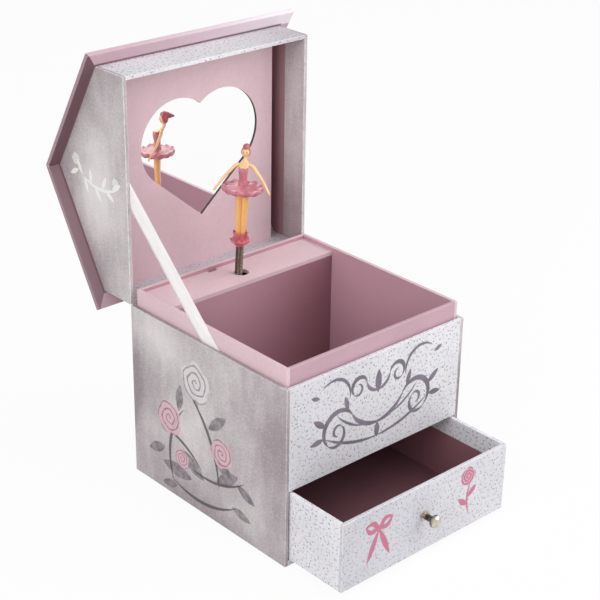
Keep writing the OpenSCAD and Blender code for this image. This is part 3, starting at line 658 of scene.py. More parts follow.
def soften(node, radius):
    """Rounds a board's edges with modifiers; its own mesh stays as it is."""
    piece = NODES[node]
    weld = piece.modifiers.new("weld", "WELD")
    weld.merge_threshold = 0.01 * MM
    bevel = piece.modifiers.new("paper_edge", "BEVEL")
    bevel.width = radius
    bevel.segments = 2
    bevel.limit_method = "ANGLE"
    bevel.angle_limit = math.radians(40)
    bevel.harden_normals = True


# ---------- settings ----------
def colour_setting(name, description, *display):
    """A colour setting, from its display values."""
    return FloatVectorProperty(
        name=name, description=description, subtype="COLOR", default=tone(*display), min=0, max=1)


def length_setting(name, description, millimetres, least):
    """A length setting in Blender's own unit."""
    return FloatProperty(
        name=name, description=description, unit="LENGTH", default=millimetres * MM, min=least * MM)


def size_setting(name, description, millimetres, least):
    """A length setting kept in millimetres."""
    return FloatProperty(
        name=name, description=description + ", in millimetres", default=millimetres, min=least)


def angle_setting(name, description, degrees):
    """An angle setting."""
    return FloatProperty(
        name=name, description=description, subtype="ANGLE", default=math.radians(degrees))


class MusicBoxPapers(bpy.types.PropertyGroup):
    """Colours and sizes of the papers."""

    pink: colour_setting("Pink paper", "Plain paper of the collar, platform and mirror board", 223, 194, 201)
    lilac: colour_setting("Lilac paper", "Plain paper of the collar's front", 196, 161, 173)
    roof: colour_setting("Roof paper", "Plain paper of the two roof boards", 209, 177, 188)
    # Painted shade: the deep rose of the roof's inner face beside the gables, also laid low on the gables'
    # inner faces.
    overhang_shade: colour_setting("Overhang", "Deep rose of the roof's inner face beside the gables", 108, 76, 84)
    light_grey: colour_setting("Light wash", "Lightest grey of the watercolour print", 226, 220, 220)
    dark_grey: colour_setting("Dark wash", "Darkest grey of the watercolour print", 150, 138, 143)
    pale: colour_setting("Flecked paper", "Ground of the flecked paper", 234, 233, 238)
    silver: colour_setting(
        "Silvery paper", "Ground of the flecked paper on the lid's rear wall", 206, 198, 206)
    # A darker copy of the pink paper: painted shade inside the well and, darker still, on the deck.
    shaded_rose_lining: colour_setting("Well lining", "Rose paper inside the upper compartment", 186, 142, 156)
    # A darkened copy of the rose lining: painted shade in the lid behind the turn-in and the mirror board;
    # at half strength it is the roof's painted contact shadow.
    shaded_lid_lining: colour_setting("Lid lining", "Deep rose paper behind the turn-in of the lid", 172, 132, 138)
    lining: colour_setting("Drawer lining", "Plum paper inside the drawer", 122, 82, 90)
    ink: colour_setting(
        "Dark ink", "Ink of the front panel's flourish and the left wall's spray", 92, 84, 94)
    bloom: colour_setting("Blooms", "Pink of the roses on the left wall", 222, 178, 190)
    rose_ink: colour_setting("Rose ink", "Ink of the two motifs on the drawer", 194, 100, 130)
    fleck_pitch: length_setting("Fleck spacing", "Distance between neighbouring flecks", 2.25, 0.5)
    fleck_size: FloatProperty(
        name="Fleck size", description="Size of the flecks against their spacing",
        default=1.35, min=0.2, max=3)
    turn_in: length_setting("Lid turn-in", "Depth to which the print is folded into the lid", 15.5, 1)
    drawer_turn_in: length_setting(
        "Drawer turn-in", "Depth to which the paper is folded into the drawer", 10.8, 1)
    edge_radius: length_setting("Edge radius", "Rounding of the papered board edges", 0.3, 0)


class MusicBoxDancer(bpy.types.PropertyGroup):
    """The dancer's build, and that of the spring underneath."""

    spring_height: size_setting("Spring height", "Length of the spring above the platform", 15.5, 5)
    spring_foot: size_setting("Spring foot", "Length of the spring below the platform's top", 4.0, 1)
    spring_width: size_setting("Spring width", "Outer diameter of the spring", 4.2, 1)
    wire: size_setting("Wire", "Diameter of the spring's wire", 0.55, 0.1)
    facing: angle_setting("Facing", "Turn of the dancer from facing the front", -48)
    height: size_setting("Height", "Height of the dancer above the spring", 56.4, 20)
    tutu_width: size_setting("Tutu width", "Diameter of the tutu", 21.8, 5)
    frills: IntProperty(
        name="Frills", description="Number of waves round the tutu's rim", default=12, min=5, max=30)
    skin: colour_setting("Skin", "Moulded plastic of the legs, arms and face", 252, 206, 152)
    pink: colour_setting("Costume", "Moulded plastic of the tutu and bodice", 225, 141, 154)
    shoe: colour_setting("Shoes", "Moulded plastic of the shoe frills", 226, 120, 130)
    hair: colour_setting("Hair", "Paint of the hair", 206, 98, 104)


class MusicBoxTrim(bpy.types.PropertyGroup):
    """The ribbon and the hinge cloth."""

    ribbon_width: length_setting("Ribbon width", "Width of the stay ribbon", 10, 2)
    ribbon: colour_setting("Ribbon", "Satin of the stay ribbon", 254, 249, 249)
    cloth: colour_setting("Hinge cloth", "Bookcloth of the hinge", 168, 158, 164)


class MusicBoxStage(bpy.types.PropertyGroup):
    """Where the camera stands, and how strong the lights are."""

    azimuth: angle_setting("Camera azimuth", "Direction the camera stands in, from the front", -42.394)
    elevation: angle_setting("Camera elevation", "Angle that the camera looks down by", 25.241)
    roll: angle_setting("Camera roll", "Turn of the camera about its own line of sight", 0.937)
    place: FloatVectorProperty(
        name="Camera place", description="Where the camera stands",
        subtype="XYZ", unit="LENGTH", default=(-0.47959, -0.52786, 0.44059))
    lens: FloatProperty(
        name="Focal length", description="Focal length of the camera, in millimetres",
        subtype="DISTANCE_CAMERA", default=92.98, min=1)
    key_power: FloatProperty(
        name="Key light", description="Power of the large lamp up on the right",
        subtype="POWER", unit="POWER", default=10.8, min=0)
    fill_power: FloatProperty(
        name="Fill light", description="Power of the large lamp on the left",
        subtype="POWER", unit="POWER", default=6.0, min=0)
    sky: FloatProperty(
        name="Room light", description="Strength of the even light from all round",
        default=0.42, min=0)


# ---------- stage ----------
WHITE = (1, 1, 1, 1)


class MUSICBOX_OT_stage(bpy.types.Operator):
    """Set the camera, the lamps, the white room and the floor"""

    bl_idname = "musicbox.stage"
    bl_label = "Camera and stage"

    def execute(self, context):
        stage = context.scene.music_box_stage
        add_camera(context, stage)
        add_lamp("key_lamp", place=(0.65, -0.62, 0.8), size=1.5, power=stage.key_power)
        add_lamp("fill_lamp", place=(-0.95, -0.35, 0.6), size=0.9, power=stage.fill_power)
        add_room(context, stage.sky)
        add_floor()
        context.scene.view_settings.view_transform = "Standard"
        return {"FINISHED"}


def add_camera(context, stage):
    bpy.ops.object.camera_add()
    camera = context.active_object
    camera.name = "photo_camera"
    a, e, roll = stage.azimuth, stage.elevation, stage.roll
    back = Vector((math.sin(a) * math.cos(e), -math.cos(a) * math.cos(e), math.sin(e)))
    right = (-back).cross(Vector((0, 0, 1))).normalized()
    up = right.cross(-back)
    level = right * math.cos(roll) + up * math.sin(roll)
    lifted = up * math.cos(roll) - right * math.sin(roll)
    turned = Matrix((level, lifted, back)).transposed().to_4x4()
    camera.matrix_world = Matrix.Translation(Vector(stage.place)) @ turned
    camera.data.lens = stage.lens
    camera.data.sensor_width = 36
    camera.data.clip_start, camera.data.clip_end = 0.01, 20
    context.scene.camera = camera


def add_lamp(name, place, size, power):
    """A round lamp aimed at the middle of the box."""
    bpy.ops.object.light_add(type="AREA", location=place)
    lamp = bpy.context.active_object
    lamp.name = name
    lamp.data.shape = "DISK"
    lamp.data.size = size
    lamp.data.energy = power
    aim = Vector((0, 0, 0.1)) - Vector(place)
    lamp.rotation_euler = aim.to_track_quat("-Z", "Y").to_euler()


def add_room(context, strength):
    """Even light from all round, which looks white to the camera, in gloss and through glass."""
    world = bpy.data.worlds.new("white_room")
    context.scene.world = world
    world.use_nodes = True
    nodes, links = world.node_tree.nodes, world.node_tree.links
    nodes.clear()
    path = nodes.new("ShaderNodeLightPath")
    seen = path.outputs["Is Camera Ray"]
    for name in ("Is Glossy Ray", "Is Transmission Ray"):
        either = nodes.new("ShaderNodeMath")
        either.operation = "MAXIMUM"
        links.new(seen, either.inputs[0])
        links.new(path.outputs[name], either.inputs[1])
        seen = either.outputs[0]
    even, white = nodes.new("ShaderNodeBackground"), nodes.new("ShaderNodeBackground")
    even.inputs["Strength"].default_value = strength
    even.inputs["Color"].default_value = WHITE
    white.inputs["Color"].default_value = WHITE
    choice, end = nodes.new("ShaderNodeMixShader"), nodes.new("ShaderNodeOutputWorld")
    links.new(seen, choice.inputs[0])
    links.new(even.outputs[0], choice.inputs[1])
    links.new(white.outputs[0], choice.inputs[2])
    links.new(choice.outputs[0], end.inputs["Surface"])


def add_floor():
    """A white floor that keeps a little of its own surface, so that it takes the shadow."""
    glowing = 0.94
    bpy.ops.mesh.primitive_plane_add(size=4, location=(0, 0, -0.2 * MM))
    floor = added("studio_floor")
    paint = Paint("studio_white")
    path = paint.node("ShaderNodeLightPath")
    seen = path.higher(path.other("Is Glossy Ray")).higher(path.other("Is Transmission Ray"))
    diffuse = paint.node("ShaderNodeBsdfDiffuse", values={"Color": (0.86, 0.86, 0.86, 1)})
    glow = paint.node("ShaderNodeEmission", values={"Strength": 1.0})
    paint.ended(paint.node("ShaderNodeMixShader", values={0: seen * glowing, 1: diffuse, 2: glow}))
    floor.data.materials.append(paint.material)


# ---------- case ----------
FOLD_PALE = tone(246, 244, 246)  # flecked paper along its edges, where it is worn and painted with a highlight
WALL_PALE = tone(232, 228, 228)  # watercolour on the case along its edges, where it is worn and painted with a highlight
PLAIN_WEAR_AND_HIGHLIGHT = 0.25  # how much of the edge wear and painted highlight shows on plain paper
ROSE_GLOW = tone(216, 176, 190)  # light that the pink papers throw on each other
WELL_SHADE = tone(122, 70, 78)
LINING_INWARD = {
    "liner_left": (1, 0), "liner_right": (-1, 0), "liner_front": (0, 1), "liner_rear": (0, -1),
    "divider": (0, -1)}
# The rear wall and the platform have holes in their faces and keep their sharp edges.
SOFT_CASE = ("left_wall", "right_wall", "front_panel", "floor_board", "deck", *LINING_INWARD)


class MUSICBOX_OT_case_papers(bpy.types.Operator):
    """Paper the case, its collar, platform and deck"""

    bl_idname = "musicbox.case_papers"
    bl_label = "Case papers"

    def execute(self, context):
        papers = context.scene.music_box_papers
        for node in ("left_wall", "right_wall", "rear_wall"):
            dress(node, wall_print(node, papers))
        dress("front_panel", front_print(papers))
        dress("floor_board", floor_print(papers))
        for node, inward in LINING_INWARD.items():
            dress(node, well_lining(node, inward, papers))
        dress("platform", plain_board("platform", papers.pink))
        # The deck is painted darker still than the well's lining, as shade at the foot of the well.
        dress("deck", plain_board("deck", scaled(papers.shaded_rose_lining, 0.8)))
        for node in SOFT_CASE:
            soften(node, papers.edge_radius)
        return {"FINISHED"}


def wall_print(node, papers):
    """Watercolour, with the rose spray on the left wall."""
    sheet = Sheet(node, "print")
    shade = washed(
        sheet, papers, bright=[((36, 86), 34, 24, 0.2), ((14, 44), 30, 34, 0.12)],
        dim=[((-60, 50), 34, 70, 0.16), ((-10, 0), 70, 16, 0.12), ((62, 50), 16, 40, 0.3)])
    if node == "left_wall":
        shade = rose_spray(sheet, shade, papers)
    return papered(sheet, shade, WALL_PALE)


def front_print(papers):
    """Flecked paper, greyer to the left as painted shade, with the flourish in a clouded ink."""
    sheet = Sheet("front_panel", "print")
    mix = sheet.paint.mix
    # Painted shade, deepening towards the left.
    shade = mix(sheet.x.ramp(30, -60) * 0.22, flecked(sheet, papers.pale, papers), tone(158, 156, 168))
    marks = flourish(sheet, (0, 72)) * sheet.faces(y=-1)
    clouds = sheet.paint.noise(sheet.flat, 12, 3).ramp(0.35, 0.65)
    ink = mix(clouds, papers.ink, tone(120, 106, 128))
    return papered(sheet, mix(marks * 0.92, shade, ink), FOLD_PALE)


def floor_print(papers):
    sheet = Sheet("floor_board", "print")
    return papered(sheet, flecked(sheet, papers.pale, papers), FOLD_PALE)


def well_lining(node, inward, papers):
    """Collar paper outside; inside, rose lining darkened as painted shade and deepening towards the deck,
    with a painted shadow across the divider and bounced light painted on the divider and the right liner.
    """
    sheet = Sheet(node, "paper")
    mix = sheet.paint.mix
    outer = rosy(sheet, papers.lilac if node == "liner_front" else papers.pink)
    top = rosy(sheet, papers.shaded_rose_lining)
    # Painted shade: the lining darkens from 4 millimetres below its top down to 48 millimetres; dull is how
    # dark it gets there.
    lit_height, shaded_height = sheet.high.z - 4, 48
    dull = {"divider": 1, "liner_right": 0.84}.get(node, 0.62)
    inner = mix(sheet.z.ramp(lit_height, shaded_height), top, scaled(papers.shaded_rose_lining, dull))
    if node == "divider":
        inner = mix(0.2, inner, ROSE_GLOW)
        # Painted shadow across the divider, deepening towards the right wall.
        inner = mix(sheet.x.ramp(-30, 52) * 0.66, inner, WELL_SHADE)
    if node == "liner_right":
        inner = mix(0.55, inner, ROSE_GLOW)
    shade = mix(sheet.faces(*inward), outer, inner)
    return papered(sheet, shade, worn_and_lit(papers.pink), PLAIN_WEAR_AND_HIGHLIGHT)


def plain_board(node, paper):
    sheet = Sheet(node, "paper")
    return papered(sheet, rosy(sheet, paper), worn_and_lit(paper), PLAIN_WEAR_AND_HIGHLIGHT)


# ---------- lid ----------
GABLE_PALE = tone(240, 238, 238)  # watercolour on the lid along its edges, where it is worn and painted with a highlight
LID_PALE = tone(248, 246, 248)  # flecked paper on the lid along its edges, where it is worn and painted with a highlight
SPRIG_INK = tone(242, 240, 236)
CUT_BOARD = tone(62, 54, 56)
# On the mirror board, the heart's cut edge lies above and inside of these, in millimetres
HEART_FOOT = 102
HEART_SIDE = 47


class MUSICBOX_OT_lid_papers(bpy.types.Operator):
    """Paper the lid, its roof and the mirror board"""

    bl_idname = "musicbox.lid_papers"
    bl_label = "Lid papers"

    def execute(self, context):
        papers = context.scene.music_box_papers
        finishes = {
            "lid_left": gable_print("lid_left", papers),
            "lid_right": gable_print("lid_right", papers),
            "lid_front": lid_print("lid_front", papers.pale, papers),
            "lid_rear": lid_print("lid_rear", papers.silver, papers),
            "roof_front": roof_paper("roof_front", 0.95, papers),
            "roof_rear": roof_paper("roof_rear", 0.66, papers),
        }
        for node, material in finishes.items():
            dress(node, material)
            soften(node, papers.edge_radius)
        dress("mirror_board", mirror_board_paper(papers))
        dress("mirror_glass", silvered_glass())
        return {"FINISHED"}


def gable_print(node, papers):
    """Watercolour with a pale sprig; inside, rose lining darkened as painted shade behind the turned-in
    print, and painted shade deepening towards the foot.
    """
    sheet = Sheet(node, "print")
    mix = sheet.paint.mix
    low, high = sheet.low, sheet.high
    outward = 1 if low.x > 0 else -1
    inside = sheet.faces(x=-outward)
    y, z = high.y - 30, (low.z + high.z) / 2
    shade = washed(
        sheet, papers, bright=[((y, z), 24, 44, 0.24)],
        dim=[((high.y, end), 60, 50, 0.2) for end in (high.z, low.z)])
    marks = pale_sprig(sheet, (y - 1, z + 2)) * sheet.faces(x=outward)
    shade = mix(marks * 0.92, shade, SPRIG_INK)
    # Painted shade: past the turn-in, the inner face takes the darkened rose lining.
    deep = inside * (sheet.y > low.y + papers.turn_in / MM)
    shade = mix(deep, shade, rosy(sheet, papers.shaded_lid_lining))
    # Painted shade on the inner face, deepening from 30 millimetres below the top down to the foot.
    depth = inside * sheet.z.ramp(high.z - 30, low.z)
    shade = mix(depth * 0.4, shade, papers.overhang_shade)
    return papered(sheet, shade, GABLE_PALE, share=0.8)


def lid_print(node, ground, papers):
    """Flecked paper, with rose lining darkened as painted shade behind the mirror board on the inner face;
    the front wall is painted darker towards the right, as shade.
    """
    sheet = Sheet(node, "print")
    mix = sheet.paint.mix
    shade = flecked(sheet, ground, papers)
    if node == "lid_front":
        # Painted shade, deepening towards the right.
        shade = mix(sheet.x.ramp(10, 55) * 0.34, shade, tone(134, 116, 124))
    # Painted shade: behind the mirror board, the inner face takes the darkened rose lining.
    behind = box("mirror_board")[0].y
    deep = sheet.faces(z=-1 if sheet.low.z > behind else 1) * (sheet.y > behind)
    return papered(sheet, mix(deep, shade, rosy(sheet, papers.shaded_lid_lining)), LID_PALE)


def roof_paper(node, overhang_shade_share, papers):
    """Rose paper, with painted light and shade on its inner face.

    Beside the gables the inner face has deep rose painted shade, and along the upper eave a pale painted
    light, stronger to the right.
    A painted contact shadow runs round the lid's walls, and the faces that look left carry painted shade.
    """
    sheet = Sheet(node, "paper")
    mix = sheet.paint.mix
    inner = sheet.facing_y < INNER_FACE
    left, right = box("lid_left")[0].x, box("lid_right")[1].x
    top, foot = box("lid_front")[1].z, box("lid_rear")[0].z
    # Painted contact shadow: a dark line on the inner face just past the lid's walls.
    past = (left - sheet.x).higher(sheet.x - right).higher(sheet.z - top).higher(foot - sheet.z)
    line = past.ramp(1.4, 0.8) * (past > 0) * inner
    # Painted shade on the inner face beside the gables, as far as the mitre, stronger on the front board.
    aside = left - sheet.x
    mitre = aside.higher(0) > (sheet.z - top).higher(foot - sheet.z) * 0.85
    beside = (aside > 0) * mitre * inner
    # Painted light along the upper eave of the inner face, stronger towards the right.
    eave = sheet.z.ramp(top, top + 1) * inner * (1 - beside)
    lit = sheet.x.ramp(-60, 50) * 0.6 + sheet.x.ramp(15, 60) * 0.4
    shade = mix(beside * overhang_shade_share, rosy(sheet, papers.roof), papers.overhang_shade)
    # Painted shade on the faces that look to the left.
    shade = mix(sheet.faces(x=-1) * 0.6, shade, tone(124, 94, 104))
    shade = mix(eave * lit, shade, tone(244, 234, 240))
    shade = mix(line * 0.9, shade, scaled(papers.shaded_lid_lining, 0.5))
    return papered(sheet, shade, worn_and_lit(papers.roof))


def mirror_board_paper(papers):
    """Pink paper, with bare dark board in the heart's cut edge."""
    sheet = Sheet("mirror_board", "paper")
    flat_on = abs(sheet.facing_y) > 0.5
    cut = (1 - flat_on) * (abs(sheet.x) < HEART_SIDE) * (sheet.z > HEART_FOOT)
    return without_pale_edges(sheet, sheet.paint.mix(cut, rosy(sheet, papers.pink), CUT_BOARD))


def silvered_glass():
    paint = Paint("silvered_glass")
    haze = paint.noise(paint.where(), 18, 3).ramp(0.4, 0.8)
    return paint.finished(Base_Color=(0.97, 0.97, 0.97), Metallic=1.0, Roughness=haze * 0.012)


# ---------- drawer ----------
DRAWER_INWARD = {
    "drawer_front": (0, 1), "drawer_left": (1, 0), "drawer_right": (-1, 0), "drawer_back": (0, -1)}


class MUSICBOX_OT_drawer_papers(bpy.types.Operator):
    """Paper the drawer outside and line it inside"""

    bl_idname = "musicbox.drawer_papers"
    bl_label = "Drawer papers"

    def execute(self, context):
        papers = context.scene.music_box_papers
        for node, inward in DRAWER_INWARD.items():
            dress(node, drawer_side(node, inward, papers))
            soften(node, papers.edge_radius)
        dress("drawer_bottom", plain_board("drawer_bottom", papers.lining))
        return {"FINISHED"}


def drawer_side(node, inward, papers):
    """Flecked paper turned in over the rim, with plum lining below; two motifs on the front.

    The front is painted darker as shade, most to the left; the right side's lining has painted light.
    """
    sheet = Sheet(node, "paper")
    mix = sheet.paint.mix
    ground = flecked(sheet, papers.pale, papers)
    outside = ground
    if node == "drawer_front":
        middle = (sheet.low.z + sheet.high.z) / 2
        # Painted shade over the whole front, deepening towards the left.
        outside = mix(sheet.x.ramp(50, -60) * 0.24 + 0.14, outside, tone(156, 154, 166))
        marks = bow(sheet, (-33, middle + 7), 10).higher(long_stemmed(sheet, (29, middle), 11))
        outside = mix(marks * sheet.faces(y=-1) * 0.9, outside, papers.rose_ink)
    # Painted light: the lining of the right side is made lighter.
    light = 1.3 if node == "drawer_right" else 1
    fold = sheet.high.z - papers.drawer_turn_in / MM
    inside = mix(sheet.z.ramp(fold + 0.2, fold - 0.2), ground, rosy(sheet, scaled(papers.lining, light)))
    return papered(sheet, mix(sheet.faces(*inward), outside, inside), FOLD_PALE)


# ---------- metals ----------
# Finish, colour, roughness and the nodes that have it
METALS = (
    ("yellow_brass", tone(206, 178, 118), 0.22, (
        "key_escutcheon", "key", "spring_barrel", "barrel_cover", "pin_cylinder", "cylinder_gear",
        "layshaft")),
    ("bright_steel", tone(176, 176, 178), 0.3, (
        "knob_screw", "movement_screws", "comb", "comb_screws", "winding_arbor", "cylinder_pinion",
        "drive_spindle", "spring_ferrule", "worm_shaft", "fly")),
    ("cast_zinc", tone(150, 150, 152), 0.5, ("bedplate", "barrel_bridge", "governor_frame")),
    ("blued_spring", tone(70, 66, 74), 0.3, ("mainspring",)),
)


class MUSICBOX_OT_metals(bpy.types.Operator):
    """Finish the knob, the key, the movement and their screws"""

    bl_idname = "musicbox.metals"
    bl_label = "Metal finishes"

    def execute(self, context):
        dress("knob", knob_metal())
        for finish, tint, rough, nodes in METALS:
            material = metal(finish, tint, rough)
            for node in nodes:
                dress(node, material)
        return {"FINISHED"}


def knob_metal():
    """Pale plated brass, rougher and darker in its neck and behind its rim, where painted shade and dark
    reflection lie.
    """
    low, high = box("knob")
    paint = Paint("pale_plated_brass")
    where = paint.where()
    y = paint.parts(where)[1]
    # Painted shade and dark reflection in the neck and behind the rim; smudges darken it a little too.
    neck = y.ramp(low.y + 1.6, low.y + 3.2) * y.ramp(high.y - 0.4, high.y - 2.4)
    smudge = paint.noise(where, 1.6, 4).ramp(0.3, 0.7)
    shade = paint.mix(neck * 0.75 + smudge * 0.25, tone(214, 207, 192), tone(66, 54, 42))
    return paint.finished(Base_Color=shade, Metallic=1.0, Roughness=smudge * 0.08 + neck * 0.15 + 0.08)


def metal(name, tint, rough):
    """Metal with faint smudges and hair scratches."""
    paint = Paint(name)
    where = paint.where()
    smudge = paint.noise(where, 4, 4)
    scratch = paint.noise(where, 0.3, 3)
    shade = paint.mix(smudge.ramp(0.35, 0.75), scaled(tint, 0.85), tint)
    return paint.finished(
        Base_Color=shade, Metallic=1.0, Roughness=smudge * 0.12 + (rough - 0.06),
        Normal=paint.bump(scratch, 0.004))


# ---------- dancer ----------
# Heights on the dancer, as shares of the whole height
TUTU_RISE = 0.544
WAIST_RISE = 0.604
BUST_RISE = 0.771
SHOULDER_RISE = 0.797
HEAD_RISE = 0.916

PLASTIC = {
    "Coat_Roughness": 0.12, "Subsurface_Weight": 0.12, "Subsurface_Radius": (0.002, 0.001, 0.0008),
    "Subsurface_Scale": 0.5}
STEPS_IN_TURN = 24  # steps in one turn of the spring
SPRING_BEND = 0.6  # the real spring bends below this share of its height; the spring operator works out that point and does not use it

# The shoe frill's profile of (radius, height): a low frill and, above FRILL_TOP, an upright one
SHOE_PROFILE = (
    (2.1, 0), (2.5, 0.35), (3.1, 1.2), (4.3, 2.3), (5.2, 3.2), (5.4, 3.7), (5.0, 4.0), (4.2, 3.6),
    (3.5, 3.4), (3.4, 4.2), (3.6, 6.0), (3.8, 7.8), (3.75, 8.9), (3.45, 8.9), (3.2, 7.4), (2.9, 6.0),
    (2.4, 5.2))
FRILL_TOP = 5
FRILL_WAVES = 8
SHOE_PETALS = 6
PETAL_TURN = 0.6  # in radians

# One leg's stations, and one arm's points of (x, y, height from the shoulder, radius)
LEG = (
    (1.2, 1.1, 1.2, 0, 5.4), (1.32, 1.2, 1.25, 0, 6.6), (1.4, 1.25, 1.3, 0.05, 9.5),
    (1.68, 1.55, 1.48, 0.2, 14), (1.65, 1.5, 1.52, 0.15, 18), (1.7, 1.55, 1.58, 0, 20.5),
    (1.85, 1.7, 1.62, 0.05, 25), (1.95, 1.8, 1.68, 0.05, 30), (1.95, 1.8, 1.68, 0, 31.6))
ARM = (
    (2.3, 2.6, -0.6, 0.85), (3.8, 2.7, -1.0, 1.0), (6.8, 1.7, -4.0, 0.88), (9.6, 0.4, -7.0, 0.78),
    (12.1, -1.5, -10.2, 0.66), (13.4, -2.7, -12.0, 0.52), (13.9, -3.1, -12.8, 0.66),
    (14.3, -3.3, -13.5, 0.52), (14.6, -3.4, -14.0, 0.16))

TUTU_DEPTH = 0.89  # the tutu's depth against its width
TUTU_WAIST = 3  # radius within which the tutu has no waves, in millimetres
PLEATS_IN_FRILL = 3

HEAD_SIZE = (2.2, 2.4, 2.82)  # half width, half depth and half height of the head, in millimetres
# The hair over the crown and back to the bun: balls of (place, radius)
BUN = (
    ((0, -0.7, 2.5), 1.25), ((0, 0.5, 2.6), 1.75), ((0, 1.9, 2.1), 1.9), ((0, 3.0, 1.9), 1.55),
    ((0, 4.0, 1.85), 1.15), ((0, 4.9, 1.8), 0.8), ((0, 5.6, 1.75), 0.5))


def spindle():
    """Where the spring's foot meets the platform, and the turn that leans the dancer."""
    spin = next(joint for joint in frame["joints"] if joint["name"] == "dancer_spin")
    lean = Vector((0, 0, 1)).rotation_difference(Vector(spin["axis"])).to_matrix().to_4x4()
    return Matrix.Translation(spin["pos_m"]) @ lean


def figure_place(figure):
    """Takes what is modelled upright on the spring's top, with the face to -Y, to its place."""
    lifted = Matrix.Translation((0, 0, figure.spring_height * MM))
    return spindle() @ lifted @ Matrix.Rotation(figure.facing, 4, "Z")


def marked(piece, name, colour_at):
    """Stores a colour for each vertex, from its place, for the material to read."""
    marks = piece.data.attributes.new(name, "FLOAT_COLOR", "POINT")
    for vertex, mark in zip(piece.data.vertices, marks.data):
        mark.color = (*colour_at(*vertex.co), 1)


def crease_shaded(piece, depth):
    """Stores how deep each place lies, from 0 to 1, for the painted shade in its hollows."""
    marked(piece, "creases", lambda *place: (max(0.0, min(1.0, depth(*place))),) * 3)


def moulded(name, tint, rough, darker=0.8, coat=0.4, creases=0.0):
    """Glossy moulded plastic, a little darker in its clouds and with a soft flow in its surface; where
    asked, painted shade lies in its hollows.
    """
    paint = Paint(name)
    where = paint.where()
    clouds = paint.noise(where, 3, 3)
    flow = paint.noise(where, 0.9, 2)
    shade = paint.mix(clouds.ramp(0.3, 0.7), scaled(tint, darker), tint)
    # Painted shade in the hollows between waves and frills, from the depth stored on the piece.
    if creases:
        depth = paint.node("ShaderNodeAttribute", {"attribute_name": "creases"}, output="Fac")
        red, green, blue = tint
        shade = paint.mix(depth * creases, shade, (red * 0.42, green * 0.22, blue * 0.3))
    return paint.finished(
        Base_Color=shade, Roughness=flow * 0.12 + (rough - 0.06), Normal=paint.bump(flow, 0.05, 0.6),
        Coat_Weight=coat, **PLASTIC)


class MUSICBOX_OT_coil_spring(bpy.types.Operator):
    """Wind the spring that carries the dancer"""

    bl_idname = "musicbox.coil_spring"
    bl_label = "Coil spring"

    def execute(self, context):
        figure = context.scene.music_box_dancer
        pitch = figure.wire * 1.03
        turns = int((figure.spring_height + figure.spring_foot) / pitch)
        reach = (figure.spring_width - figure.wire) / 2
        alone()
        bpy.ops.mesh.primitive_circle_add(
            vertices=10, radius=figure.wire / 2, rotation=(math.pi / 2, 0, 0))
        spring = added("coil_spring_wire")
        with editing():
            bpy.ops.transform.translate(value=(reach, 0, figure.wire / 2 - figure.spring_foot))
        bpy.ops.object.transform_apply(location=True, rotation=True, scale=True)
        finished(spring, ("SCREW", {
            "axis": "Z", "screw_offset": pitch, "iterations": turns, "steps": STEPS_IN_TURN,
            "render_steps": STEPS_IN_TURN}))
        with editing():
            bpy.ops.mesh.select_all(action="DESELECT")
            bpy.ops.mesh.select_non_manifold()
            bpy.ops.mesh.edge_face_add()
            face_outwards()
        placed(spring, spindle(), spring_wire(), None, "spring_brass", "coil_spring")
        foot = spindle().translation
        top = spindle() @ Vector((0, 0, SPRING_BEND * figure.spring_height * MM))
        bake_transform(spring)
        return {"FINISHED"}


def spring_wire():
    paint = Paint("dull_spring_wire")
    smudge = paint.noise(paint.where(), 0.6, 3)
    shade = paint.mix(smudge.ramp(0.3, 0.7), tone(96, 84, 76), tone(138, 122, 110))
    return paint.finished(Base_Color=shade, Metallic=1.0, Roughness=smudge * 0.1 + 0.2)


class MUSICBOX_OT_shoes(bpy.types.Operator):
    """Model the frill round the dancer's feet"""

    bl_idname = "musicbox.shoes"
    bl_label = "Shoe frill"

    def execute(self, context):
        figure = context.scene.music_box_dancer
        frill = drawn("shoe_frill", turned_rings(SHOE_PROFILE), sides=48)
        shaped(frill, shoe_petals)
        rounded(frill, levels=2)
        # Painted shade between the frill's waves and petals.
        crease_shaded(frill, shoe_creases)
        plastic = moulded("moulded_rose_shoes", figure.shoe, 0.3, creases=0.5)
        placed(frill, figure_place(figure), plastic, "dancer", "tutu_plastic", "slippers")
        return {"FINISHED"}


def shoe_petals(x, y, z):
    """Waves on the low frill and pointed petals on the upright one."""
    angle, reach = math.atan2(y, x), math.hypot(x, y)
    if z < FRILL_TOP and reach > 3.6:
        wave, share = math.cos(FRILL_WAVES * angle), (reach - 3.6) / 1.8
        return x * 0.05 * wave * share, y * 0.05 * wave * share, 0.55 * wave * share
    if z > 4 and reach > 2.8:
        wave, share = math.cos(SHOE_PETALS * angle + PETAL_TURN), (z - 4) / 5
        return x * 0.09 * wave * share, y * 0.09 * wave * share, 0.65 * (wave - 1) * share ** 2
    return 0, 0, 0


def shoe_creases(x, y, z):
    """How deep a place lies between two waves or petals, from 0 to 1, for the painted shade there."""
    angle = math.atan2(y, x)
    if z < FRILL_TOP:
        return 0.5 - 0.5 * math.cos(FRILL_WAVES * angle)
    return 0.6 - 0.6 * math.cos(SHOE_PETALS * angle + PETAL_TURN)


class MUSICBOX_OT_legs(bpy.types.Operator):
    """Model the dancer's legs"""

    bl_idname = "musicbox.legs"
    bl_label = "Legs"

    def execute(self, context):
        figure = context.scene.music_box_dancer
        pair = []
        for side in (-1, 1):
            stations = [(width, depth, side * x, y, z) for width, depth, x, y, z in LEG]
            pair.append(rounded(drawn(f"leg_{side}", stations, sides=24)))
        red, green, blue = figure.skin
        tights = moulded("moulded_legs_plastic", (red, green * 0.88, blue * 0.62), 0.34, darker=0.98)
        legs = joined("moulded_legs", *pair)
        placed(legs, figure_place(figure), tights, "dancer", "skin_plastic", "legs")
        return {"FINISHED"}


